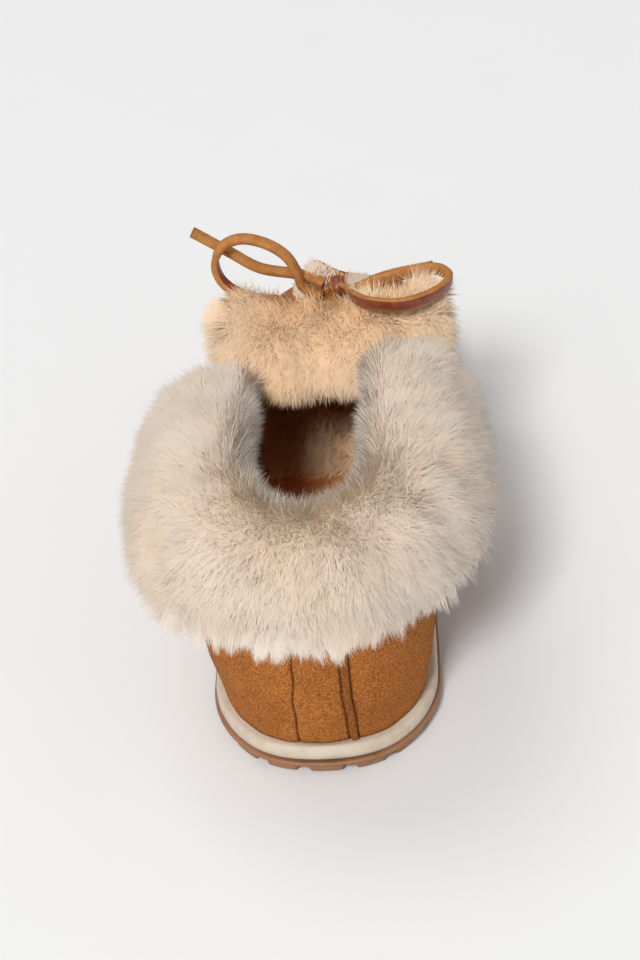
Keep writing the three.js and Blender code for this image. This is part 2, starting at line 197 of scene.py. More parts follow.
class Finish:
    """Builds one material out of nodes."""

    MIX_FACTOR, MIX_FIRST, MIX_SECOND, MIX_RESULT = 0, 6, 7, 2

    def __init__(self, name: str) -> None:
        """Starts an empty material with one Principled shader."""
        self.material = bpy.data.materials.new(name)
        self.material.use_nodes = True
        self.tree = self.material.node_tree
        self.shader = self.tree.nodes["Principled BSDF"]

    def node(self, kind: str, settings: dict, inputs: dict, out: Union[int, str] = 0) -> Flow:
        """Adds a node.

        Args:
            kind: Blender's type name of the node.
            settings: Properties to set first.
            inputs: Values or flows by socket name or index.
            out: The output to use.

        Returns:
            The chosen output.
        """
        node = self.tree.nodes.new(kind)
        for key, value in settings.items():
            setattr(node, key, value)
        for key, value in inputs.items():
            if isinstance(value, Flow):
                self.tree.links.new(value.socket, node.inputs[key])
            else:
                node.inputs[key].default_value = value
        return Flow(self, node.outputs[out])

    def place(self) -> Flow:
        """Position in the part's own frame, in metres."""
        return self.node("ShaderNodeTexCoord", {}, {}, "Object")

    def noise(self, size_mm: float, detail: float = 3.0, rough: float = 0.55) -> Flow:
        """Cloudy noise, 0 to 1, with features of about the given size."""
        inputs = {"Vector": self.place(), "Scale": 1 / (size_mm * MM), "Detail": detail, "Roughness": rough}
        return self.node("ShaderNodeTexNoise", {}, inputs)

    def attribute(self, name: str) -> Flow:
        """A value stored at the mesh's points."""
        return self.node("ShaderNodeAttribute", {"attribute_name": name}, {}, "Fac")

    def mix(self, factor: Any, first: Any, second: Any) -> Flow:
        """Blends two colours."""
        as_colour = [(*c, 1.0) if isinstance(c, tuple) else c for c in (first, second)]
        inputs = {self.MIX_FACTOR: factor, self.MIX_FIRST: as_colour[0], self.MIX_SECOND: as_colour[1]}
        return self.node("ShaderNodeMix", {"data_type": "RGBA"}, inputs, self.MIX_RESULT)

    def ramp(self, value: Flow, low: float, high: float) -> Flow:
        """Stretches a value so that low becomes 0 and high becomes 1."""
        inputs = {"Value": value, "From Min": low, "From Max": high}
        return self.node("ShaderNodeMapRange", {"interpolation_type": "SMOOTHSTEP"}, inputs)

    def link(self, socket: str, flow: Flow) -> None:
        """Feeds one of the shader's sockets."""
        self.tree.links.new(flow.socket, self.shader.inputs[socket])

    def fix(self, **values: float) -> None:
        """Sets sockets that are the same all over; underscores stand for spaces."""
        for key, value in values.items():
            self.shader.inputs[key.replace("_", " ")].default_value = value

    def bump(self, height: Flow, depth_mm: float, strength: float = 1.0) -> None:
        """Turns a height into the shader's normal."""
        inputs = {"Height": height, "Distance": depth_mm * MM, "Strength": strength}
        self.link("Normal", self.node("ShaderNodeBump", {}, inputs))


@dataclass(frozen=True)
class SuedeFinish:
    """Napped suede with brushed patches, darkened seams and painted shade on the seam ridge."""

    light: Colour = (0.56, 0.205, 0.047)
    dark: Colour = (0.26, 0.080, 0.015)
    seam: Colour = (0.035, 0.010, 0.003)
    nap_mm: float = 0.65
    brushed_mm: float = 16.0
    depth_mm: float = 0.5

    def build(self, name: str) -> bpy.types.Material:
        """Makes the material."""
        finish = Finish(name)
        nap = finish.noise(self.nap_mm, detail=4.0, rough=0.72)
        brushed = finish.noise(self.brushed_mm)
        shade = finish.ramp(nap * 0.86 + brushed * 0.14, 0.40, 0.61)
        colour = finish.mix(shade, self.dark, self.light)
        finish.link("Base Color", finish.mix(finish.attribute("seam").clip(), colour, self.seam))
        finish.link("Roughness", brushed * 0.12 + 0.84)
        finish.bump(nap, self.depth_mm, strength=0.75)
        finish.fix(Specular_IOR_Level=0.15)
        return finish.material


@dataclass(frozen=True)
class MouldedFinish:
    """Moulded rubber or foam with a fine skin and rubbed dirt."""

    colour: Colour
    dirt: Colour
    grain_mm: float
    depth_mm: float
    roughness: float
    rubbed_mm: float = 7.0

    def build(self, name: str) -> bpy.types.Material:
        """Makes the material."""
        finish = Finish(name)
        grain = finish.noise(self.grain_mm, detail=3.0, rough=0.6)
        rubbed = finish.noise(self.rubbed_mm, detail=4.0, rough=0.65)
        finish.link("Base Color", finish.mix(finish.ramp(rubbed, 0.45, 0.8), self.colour, self.dirt))
        finish.link("Roughness", grain * 0.14 + (self.roughness - 0.07))
        finish.bump(grain, self.depth_mm, strength=0.6)
        return finish.material


@dataclass(frozen=True)
class PileFinish:
    """Sheepskin pile: tone from strand to strand, and from root to tip; the roots' warmer, darker colour is
    partly painted shade deep in the pile.
    """

    root: Colour
    warm: Colour
    pale: Colour

    def build(self, name: str) -> bpy.types.Material:
        """Makes the material."""
        finish = Finish(name)
        tip = finish.mix(finish.attribute("tone"), self.warm, self.pale)
        up = finish.ramp(finish.attribute("along"), 0.0, 0.75)
        # Towards the root the colour turns warmer and darker: partly painted shade deep in the pile.
        finish.link("Base Color", finish.mix(up, self.root, tip))
        finish.fix(Roughness=0.85, Specular_IOR_Level=0.25, Sheen_Weight=0.15, Sheen_Roughness=0.5)
        return finish.material


@dataclass(frozen=True)
class WoolFinish:
    """Matted wool under the pile."""

    colour: Colour
    deep: Colour
    curl_mm: float = 1.6
    tuft_mm: float = 7.0
    depth_mm: float = 1.4

    def build(self, name: str) -> bpy.types.Material:
        """Makes the material."""
        finish = Finish(name)
        curl = finish.noise(self.curl_mm, detail=4.0, rough=0.65)
        tuft = finish.noise(self.tuft_mm)
        shade = finish.ramp(curl * 0.6 + tuft * 0.4, 0.35, 0.62)
        finish.link("Base Color", finish.mix(shade, self.deep, self.colour))
        finish.bump(curl, self.depth_mm, strength=0.9)
        finish.fix(Roughness=0.95, Specular_IOR_Level=0.2)
        return finish.material


@dataclass(frozen=True)
class LeatherFinish:
    """Waxed grain or raw flesh side of leather."""

    light: Colour
    dark: Colour
    grain_mm: float
    depth_mm: float
    roughness: float
    coat: float
    worn_mm: float = 5.0

    def build(self, name: str) -> bpy.types.Material:
        """Makes the material."""
        finish = Finish(name)
        grain = finish.noise(self.grain_mm, detail=4.0, rough=0.65)
        worn = finish.noise(self.worn_mm)
        wrinkle_and_shade = finish.attribute("wrinkle_and_shade")
        shade = finish.ramp(grain * 0.5 + worn * 0.5, 0.36, 0.62)
        colour = finish.mix(shade, self.dark, self.light)
        # In the wrinkles the colour is darkened towards the dark tone: painted shade in the creases.
        finish.link("Base Color", finish.mix((wrinkle_and_shade * 0.55).clip(), colour, self.dark))
        finish.link("Roughness", grain * 0.2 + (self.roughness - 0.1))
        finish.bump(grain - wrinkle_and_shade * 0.5, self.depth_mm, strength=0.7)
        finish.fix(Coat_Weight=self.coat, Coat_Roughness=0.3)
        return finish.material


@dataclass(frozen=True)
class FloorFinish:
    """Plain pale paper."""

    colour: Colour = (0.86, 0.86, 0.86)
    paler: Colour = (0.8772, 0.8772, 0.8772)
    cloud_mm: float = 40.0

    def build(self, name: str) -> bpy.types.Material:
        """Makes the material."""
        finish = Finish(name)
        paper = finish.noise(self.cloud_mm, detail=2.0)
        finish.link("Base Color", finish.mix(paper, self.colour, self.paler))
        finish.fix(Roughness=0.9, Specular_IOR_Level=0.1)
        return finish.material


class Finishes:
    """Every material of the slipper, made once."""

    def __init__(self) -> None:
        """Makes the materials."""
        self.suede = SuedeFinish().build("suede")
        foam = MouldedFinish(
            (0.68, 0.585, 0.465), (0.54, 0.43, 0.31), grain_mm=0.8, depth_mm=0.12, roughness=0.62
        )
        self.foam = foam.build("cream_midsole")
        gum = MouldedFinish(
            (0.36, 0.175, 0.082), (0.25, 0.115, 0.05), grain_mm=0.6, depth_mm=0.15, roughness=0.6
        )
        self.gum = gum.build("gum_rubber")
        cuff_pile = PileFinish((0.79, 0.63, 0.475), (0.75, 0.60, 0.45), (0.80, 0.725, 0.64))
        self.cuff_pile = cuff_pile.build("cuff_pile")
        # The tongue's pile gets warmer, darker colours than the cuff's pile: partly painted shade.
        tongue_pile = PileFinish((0.68, 0.44, 0.25), (0.80, 0.56, 0.33), (0.86, 0.73, 0.57))
        self.tongue_pile = tongue_pile.build("tongue_pile")
        # The footbed's pile is a saturated orange, darkest at the roots: painted warm shade of the deep
        # inside.
        foot_pile_painted_shade = PileFinish((0.88, 0.44, 0.18), (0.97, 0.62, 0.34), (0.99, 0.79, 0.53))
        self.foot_pile_painted_shade = foot_pile_painted_shade.build("footbed_pile")
        # The wool under the cuff's and the tongue's pile is coloured a little darker and warmer than the
        # pile's tips: painted shade under the strands.
        self.wool = WoolFinish((0.82, 0.66, 0.50), (0.75, 0.57, 0.41)).build("cuff_wool")
        # The lining's wool, also used on the footbed, is a saturated orange: painted warm shade of the deep
        # inside.
        self.lining = WoolFinish((0.97, 0.50, 0.19), (0.90, 0.40, 0.13)).build("lining_wool_painted_shade")
        # The sock's orange-brown is partly its own colour and partly painted warm shade of the deep inside.
        sock = LeatherFinish(
            (0.80, 0.34, 0.10), (0.62, 0.23, 0.06), grain_mm=0.7, depth_mm=0.08, roughness=0.6, coat=0.05
        )
        self.sock = sock.build("sock_leather")
        grain = LeatherFinish(
            (0.30, 0.055, 0.012), (0.11, 0.016, 0.005), grain_mm=0.5, depth_mm=0.12, roughness=0.42, coat=0.22
        )
        self.grain = grain.build("thong_grain")
        flesh = LeatherFinish(
            (0.58, 0.25, 0.062), (0.36, 0.13, 0.027), grain_mm=0.5, depth_mm=0.22, roughness=0.8, coat=0.0
        )
        self.flesh = flesh.build("thong_flesh")
        self.floor = FloorFinish().build("floor_paper")


# Meshes


def weld(mesh: bpy.types.Mesh, distance: float, drop_slivers: bool = False) -> None:
    """Joins corners that lie together, and turns every face outward.

    Args:
        mesh: The mesh to change.
        distance: Distance in millimetres under which corners are joined.
        drop_slivers: Whether faces that lost their area are dissolved as well.
    """
    work = bmesh.new()
    work.from_mesh(mesh)
    bmesh.ops.remove_doubles(work, verts=work.verts, dist=distance * MM)
    if drop_slivers:
        bmesh.ops.dissolve_degenerate(work, edges=work.edges, dist=distance * MM * SLIVER_SHARE)
    bmesh.ops.recalc_face_normals(work, faces=work.faces)
    work.to_mesh(mesh)
    work.free()
    mesh.shade_smooth()


def add_piece(name: str, mesh: bpy.types.Mesh) -> bpy.types.Object:
    """Puts a mesh into the scene as a piece that rides on the slipper.

    Args:
        name: Name of the piece.
        mesh: Its mesh.

    Returns:
        The new object.
    """
    piece = bpy.data.objects.new(name, mesh)
    bpy.context.scene.collection.objects.link(piece)
    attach(piece, BODY)
    return piece


def new_piece(
    name: str,
    points: np.ndarray,
    faces: Sequence[Sequence[int]],
    materials: Sequence[bpy.types.Material],
    face_material: Optional[Sequence[int]] = None,
    join: float = 0.0,
) -> bpy.types.Object:
    """Makes a smooth mesh piece that rides on the slipper.

    Args:
        name: Name of the piece.
        points: Corners, in maker's millimetres.
        faces: Corner indices of each face.
        materials: Materials of the piece.
        face_material: Index of the material of each face.
        join: Distance in millimetres under which corners are joined.

    Returns:
        The new object.
    """
    mesh = bpy.data.meshes.new(name)
    mesh.from_pydata(to_frame(points).tolist(), [], [list(f) for f in faces])
    for material in materials:
        mesh.materials.append(material)
    if face_material is not None:
        mesh.polygons.foreach_set("material_index", np.asarray(face_material, np.int32))
    mesh.shade_smooth()
    if join > 0:
        weld(mesh, join, drop_slivers=True)
    return add_piece(name, mesh)


def store(piece: bpy.types.Object, name: str, values: np.ndarray) -> None:
    """Stores one value for each point of a piece."""
    attribute = piece.data.attributes.new(name, "FLOAT", "POINT")
    attribute.data.foreach_set("value", np.asarray(values, np.float32))


def grid_faces(rows: int, columns: int, start: int = 0, flip: bool = False) -> list[list[int]]:
    """Faces of a grid of points stored row after row.

    Args:
        rows: Number of rows.
        columns: Points in each row.
        start: Index of the first point.
        flip: Whether the faces are turned over.

    Returns:
        Corner indices of each face.
    """
    i, j = np.meshgrid(np.arange(rows - 1), np.arange(columns - 1), indexing="ij")
    a = (start + i * columns + j).ravel()
    quads = np.stack([a, a + columns, a + columns + 1, a + 1], 1)
    return (quads[:, ::-1] if flip else quads).tolist()


def tube_faces(rows: int, columns: int) -> list[list[int]]:
    """Faces of a tube made of closed rings, stored ring after ring."""
    faces = []
    for i in range(rows - 1):
        for j in range(columns):
            k = (j + 1) % columns
            faces.append([i * columns + j, i * columns + k, (i + 1) * columns + k, (i + 1) * columns + j])
    return faces


def rim_faces(rows: int, columns: int) -> list[list[int]]:
    """Faces that join the rims of two grids, the second stored after the first."""
    count = rows * columns
    rim = [i * columns for i in range(rows)]
    rim += [(rows - 1) * columns + j for j in range(1, columns)]
    rim += [i * columns + columns - 1 for i in range(rows - 2, -1, -1)]
    rim += list(range(columns - 2, 0, -1))
    return [[a, count + a, count + b, b] for a, b in zip(rim, rim[1:] + rim[:1])]


def slab(face: np.ndarray, back: np.ndarray, flip: bool = False) -> tuple[np.ndarray, list[list[int]]]:
    """Closed body between two grids of points.

    Args:
        face: Grid of the first side.
        back: Grid of the second side, of the same shape.
        flip: Whether the faces are turned over.

    Returns:
        The points of both grids, and the faces of both sides and the rim.
    """
    rows, columns = face.shape[:2]
    faces = grid_faces(rows, columns, 0, flip) + grid_faces(rows, columns, rows * columns, not flip)
    rim = rim_faces(rows, columns)
    faces += [corners[::-1] for corners in rim] if flip else rim
    return np.concatenate([face.reshape(-1, 3), back.reshape(-1, 3)]), faces


@dataclass
class Last:
    """The form that the slipper is built on."""

    length: float = 234.0
    ledge: float = 2.5
    outsole: float = 4.8
    midsole: float = 5.2
    clearance: float = 0.3
    heel_rounding: tuple[float, float] = (36.0, 2.1)
    toe_rounding: tuple[float, float] = (60.0, 2.2)
    crown_rounding: tuple[float, float] = (50.0, 2.2)
    y: tuple = (0, 38, 72, 98, 120, 142, 172, 202, 234)
    centre: tuple = (0, 0, 0.6, 1.8, 3, 4.2, 5.2, 6.6, 8.4)
    lateral: tuple = (34, 35, 35, 35.6, 38, 41.5, 44, 44.5, 42)
    medial: tuple = (34, 35, 33.6, 32.4, 34.4, 38.5, 41.5, 42.5, 42)
    rise: tuple = (175, 166, 138, 106, 83, 66, 46.5, 34.5, 27)
    topline_y: tuple = (0, 55, 95, 120, 148, 234)
    topline_z: tuple = (87, 86.5, 85, 80.5, 71.5, 60)
    belly: float = 4.4
    belly_height: float = 74.0
    belly_fade: tuple[float, float] = (60.0, 170.0)
    toe_spring: tuple[float, float] = (158.0, 7.0)
    heel_spring: tuple[float, float] = (9.0, 1.6)
    roof: tuple[float, float] = (60.0, 135.0)
    lift_power: float = 2.1
    spread_power: float = 2.6
    heel_lean: float = 4.0
    lean_fade: tuple[float, float] = (0.0, 80.0)

    def along(self, theta: np.ndarray) -> np.ndarray:
        """Place along the foot; theta runs from 0 at the heel to pi at the toe."""
        return self.length / 2 * (1 - np.cos(theta))

    @staticmethod
    def rounded(distance: np.ndarray, rounding: tuple[float, float]) -> np.ndarray:
        """Share of the full size near a rounded end."""
        inward = np.clip(distance / rounding[0], 0, 1)
        return (1 - (1 - inward) ** rounding[1]) ** (1 / rounding[1])

    def ground(self, y: np.ndarray) -> np.ndarray:
        """Lowest height of the sole."""
        toe_from, toe_rise = self.toe_spring
        heel_to, heel_rise = self.heel_spring
        toe = np.clip((y - toe_from) / (self.length - toe_from), 0, 1)
        heel = np.clip((heel_to - y) / heel_to, 0, 1)
        return toe_rise * toe**2 + heel_rise * heel**2

    def feather(self, y: np.ndarray) -> np.ndarray:
        """Height at which the upper meets the midsole."""
        return self.ground(y) + self.outsole + self.midsole + 2 * self.clearance

    def edge(self, turn: np.ndarray) -> np.ndarray:
        """Sole edge seen from above; turn is theta, below zero on the lateral side."""
        theta = np.abs(turn)
        y = self.along(theta)
        half = np.where(turn < 0, -hermite(self.y, self.lateral, y), hermite(self.y, self.medial, y))
        size = self.rounded(y, self.heel_rounding) * self.rounded(self.length - y, self.toe_rounding)
        return np.stack([hermite(self.y, self.centre, y) + half * size, y], -1)

    def edge_normal(self, turn: np.ndarray) -> np.ndarray:
        """Outward direction of the sole's edge."""
        step = 1e-3
        side = np.where(turn < 0, -1.0, 1.0)
        theta = np.clip(np.abs(turn), step * 1.01, np.pi - step * 1.01)
        along = self.edge(side * (theta + step)) - self.edge(side * (theta - step))
        normal = unit(np.stack([side * along[..., 1], -side * along[..., 0]], -1))
        normal = np.where((np.abs(turn) < step)[..., None], np.array([0.0, -1.0]), normal)
        return np.where((np.abs(turn) > np.pi - step)[..., None], np.array([0.0, 1.0]), normal)

    def rise_at(self, theta: np.ndarray, grow: np.ndarray) -> np.ndarray:
        """Rise of the closed form above the feather line."""
        y = self.along(theta)
        rise = hermite(self.y, self.rise, y) + grow * smooth(*self.roof, y)
        return rise * self.rounded(self.length - y, self.crown_rounding)

    def point(self, turn: np.ndarray, angle: np.ndarray, grow: np.ndarray) -> np.ndarray:
        """Point of the upper's form.

        Args:
            turn: Place around the sole's edge.
            angle: Angle of the arch, 0 at the feather line and pi/2 on the spine.
            grow: Offset outward, in millimetres.

        Returns:
            Points, in maker's millimetres.
        """
        turn, angle, grow = np.broadcast_arrays(turn, angle, grow)
        theta = np.abs(turn)
        y = self.along(theta)
        lift = np.sin(angle) ** (2 / self.lift_power)
        spread = np.maximum(np.cos(angle), 0) ** (2 / self.spread_power)
        height = self.rise_at(theta, grow) * lift
        belly = self.belly * np.sin(np.pi * np.clip(height / self.belly_height, 0, 1))
        offset = grow - self.ledge + belly * (1 - smooth(*self.belly_fade, y))
        plan = self.edge(turn) + self.edge_normal(turn) * offset[..., None]
        other = self.edge(-turn) + self.edge_normal(-turn) * offset[..., None]
        spine = np.stack([hermite(self.y, self.centre, y), (plan[..., 1] + other[..., 1]) / 2], -1)
        plan = spine + (plan - spine) * spread[..., None]
        lean = self.heel_lean * (height / self.belly_height) ** 2 * (1 - smooth(*self.lean_fade, y))
        return np.stack([plan[..., 0], plan[..., 1] + lean, self.feather(y) + height], -1)

    def angle_at(self, theta: np.ndarray, z: np.ndarray, grow: np.ndarray) -> np.ndarray:
        """Angle of the arch at which the form reaches a height."""
        rise = np.maximum(self.rise_at(theta, grow), 1e-6)
        share = np.clip((z - self.feather(self.along(theta))) / rise, 0, 1)
        return np.arcsin(share ** (self.lift_power / 2))

    def theta_at(self, y: np.ndarray) -> np.ndarray:
        """Theta at a place along the foot."""
        return np.arccos(np.clip(1 - 2 * y / self.length, -1, 1))

    def topline(self, y: np.ndarray) -> np.ndarray:
        """Height of the collar edge."""
        return hermite(self.topline_y, self.topline_z, y)

    def collar_angle(self, theta: np.ndarray) -> np.ndarray:
        """Angle of the arch at the collar edge, pi/2 where the vamp is closed."""
        return self.angle_at(theta, self.topline(self.along(theta)), np.zeros_like(theta))

    def turns(self, fine: float, coarse: float, fine_reach: float) -> np.ndarray:
        """Places around the sole's edge, closer together near the heel's back.

        Args:
            fine: Spacing near the heel's back, in millimetres.
            coarse: Spacing elsewhere.
            fine_reach: Length of edge to each side that is fine.

        Returns:
            Turns from the toe along the lateral side, round the heel, to the toe again.
        """
        dense = np.linspace(0, np.pi, 6000)
        half = []
        for side in (-1.0, 1.0):
            run = run_length(self.edge(side * dense))
            places = np.arange(0, fine_reach, fine)
            rest = np.linspace(fine_reach, run[-1], int((run[-1] - fine_reach) / coarse))
            half.append(np.interp(np.concatenate([places, rest]), run, dense))
        count = min(len(half[0]), len(half[1]))
        mean = (half[0][:count] + half[1][:count]) / 2
        mean[-1] = np.pi
        return np.concatenate([-mean[:0:-1], mean])


@dataclass
class Pile:
    """Pile strands that grow out of a bed, a grid of points."""

    name: str
    bed: np.ndarray
    flow: np.ndarray
    length: np.ndarray
    count: int
    seed: int
    lean: np.ndarray
    width: float = 0.20
    clump: float = 0.26
    per_clump: int = 10
    curl: float = 0.24
    droop: float = 0.45
    tone: Union[float, np.ndarray] = 0.5
    sparse: Optional[np.ndarray] = None
    shades: bool = False
    wander: float = 0.35
    skyward: float = 0.7
    softness: float = 0.75

    def roots(self, random: np.random.Generator) -> tuple[np.ndarray, ...]:
        """Picks cells of the bed evenly by area: row, column and the place in each."""
        corner = self.bed[:-1, :-1]
        area = np.linalg.norm(np.cross(self.bed[1:, :-1] - corner, self.bed[:-1, 1:] - corner), axis=-1)
        if self.sparse is not None:
            area = area * self.sparse[:-1, :-1]
        share = area.ravel() / area.sum()
        cell = random.choice(len(share), self.count, p=share)
        i, j = np.unravel_index(cell, area.shape)
        return i, j, random.random(self.count), random.random(self.count)

    @staticmethod
    def read(values: np.ndarray, at: tuple[np.ndarray, ...]) -> np.ndarray:
        """Reads a grid of values between its points."""
        i, j, s, t = at
        shape = (-1,) + (1,) * (values.ndim - 2)
        s, t = s.reshape(shape), t.reshape(shape)
        low = values[i, j] * (1 - t) + values[i, j + 1] * t
        high = values[i + 1, j] * (1 - t) + values[i + 1, j + 1] * t
        return low * (1 - s) + high * s

    def build(self, material: bpy.types.Material, slot: Slot) -> bpy.types.Object:
        """Makes the strands as one mesh.

        Args:
            material: Finish of the pile.
            slot: The finish's slot, passed on; not used.

        Returns:
            The new piece.
        """
        random = np.random.default_rng(self.seed)
        at = self.roots(random)
        root = self.read(self.bed, at)
        normal = unit(self.read(grid_normals(self.bed), at))
        flow = self.read(self.flow, at)
        flow = flow + self.wander * np.stack([ripple(root, 17, seed=self.seed + k) for k in range(3)], -1)
        flow = unit(flow - (flow * normal).sum(1, keepdims=True) * normal)
        lean = self.read(self.lean, at) + 0.14 * ripple(root, 11, seed=self.seed + 5)
        size = self.read(self.length, at) * (0.78 + 0.44 * random.random(self.count))
        stray = random.normal(size=(self.count, 3)) * self.curl
        start = unit(normal * np.cos(lean)[:, None] + flow * np.sin(lean)[:, None] + stray)
        bend = self.droop * np.clip(np.sin(lean), 0, 1)[:, None]
        later = unit(start + (flow + np.array([0, 0, -0.25])) * bend + stray)
        middle = root + start * (size * 0.5)[:, None]
        tip = middle + later * (size * 0.55)[:, None]
        middle, tip = self.gather(root, middle, tip, random)
        facing = normal + np.array([0, 0, self.skyward])
        across = unit(np.cross(unit(tip - root), facing) + 0.12 * random.normal(size=(self.count, 3)))
        half = (self.width * (0.75 + 0.75 * random.random(self.count)) / 2)[:, None]
        corners = np.stack([root, middle - across * half, middle + across * half, tip], 1).reshape(-1, 3)
        level = self.read(np.broadcast_to(self.tone, self.bed.shape[:2]), at)
        patch = 0.15 * ripple(root, 23, seed=self.seed + 9) + 0.08 * random.normal(size=self.count)
        tone = np.clip(level + patch, 0.03, 0.97)
        return self.mesh(corners, tone, normal, material, slot)

    def layers(self, material: bpy.types.Material, slot: Slot, under: float = 0.4) -> list[bpy.types.Object]:
        """Makes the pile as a dense undercoat and a clear overcoat that lets light through.

        Args:
            material: Finish of the pile.
            slot: The finish's slot, passed on; not used.
            under: Share of the strands in the undercoat.

        Returns:
            The two pieces.
        """
        low = replace(
            self,
            name=self.name + "_under",
            count=int(self.count * under),
            length=self.length * 0.85,
            seed=self.seed + 500,
            shades=True,
        )
        high = replace(self, name=self.name + "_over", count=int(self.count * (1 - under)))
        return [low.build(material, slot), high.build(material, slot)]

    def gather(
        self, root: np.ndarray, middle: np.ndarray, tip: np.ndarray, random: np.random.Generator
    ) -> tuple[np.ndarray, np.ndarray]:
        """Pulls the strands of one lock towards their leader.

        Args:
            root: Where each strand starts.
            middle: Its bend.
            tip: Its end.
            random: Source of the leaders.

        Returns:
            The new bends and ends.
        """
        leaders = random.choice(self.count, max(self.count // self.per_clump, 1), replace=False)
        tree = kdtree.KDTree(len(leaders))
        for k, leader in enumerate(leaders):
            tree.insert(root[leader], k)
        tree.balance()
        mine = leaders[[tree.find(p)[1] for p in root]]
        pull = self.clump * (0.6 + 0.8 * random.random(self.count))[:, None]
        return middle + (middle[mine] - middle) * pull * 0.35, tip + (tip[mine] - tip) * pull

    def mesh(
        self,
        corners: np.ndarray,
        tone: np.ndarray,
        normal: np.ndarray,
        material: bpy.types.Material,
        slot: Slot,
    ) -> bpy.types.Object:
        """Writes the strands' faces, palette map and soft normals.

        Args:
            corners: Root, two sides of the bend and tip of each strand.
            tone: Tone of each strand, 0 to 1.
            normal: Outward direction at each root.
            material: Finish of the pile.
            slot: The finish's slot; not used.

        Returns:
            The new piece.
        """
        first = np.arange(self.count) * 4
        loops = np.stack([first, first + 2, first + 1, first + 1, first + 2, first + 3], 1).ravel()
        starts = np.arange(self.count * 2) * 3
        mesh = bpy.data.meshes.new(self.name)
        mesh.vertices.add(len(corners))
        mesh.vertices.foreach_set("co", to_frame(corners).astype(np.float32).ravel())
        mesh.loops.add(len(loops))
        mesh.loops.foreach_set("vertex_index", loops.astype(np.int32))
        mesh.polygons.add(len(starts))
        mesh.polygons.foreach_set("loop_start", starts.astype(np.int32))
        mesh.update(calc_edges=True)
        mesh.validate()
        along = np.array(STRAND_HEIGHTS)
        corner = loops[:6]
        side = np.array([0, -1, 1, 0])[corner] * PALETTE_STEP
        u = np.clip(tone[:, None] + side[None, :], 0, 1)
        palette = np.stack([u, np.broadcast_to(along[corner], u.shape)], -1)
        layer = mesh.uv_layers.new(name=PALETTE_MAP)
        layer.data.foreach_set("uv", palette.astype(np.float32).ravel())
        mesh.materials.append(material)
        mesh.shade_smooth()
        flat = unit(np.cross(corners[2::4] - corners[0::4], corners[1::4] - corners[0::4]))
        soft = unit(self.softness * normal + (1 - self.softness) * flat)
        mesh.normals_split_custom_set_from_vertices(np.repeat(soft, 4, axis=0).tolist())
        piece = add_piece(self.name, mesh)
        piece.visible_shadow = self.shades
        store(piece, "tone", np.repeat(tone, 4))
        store(piece, "along", np.tile(along, self.count))
        return piece


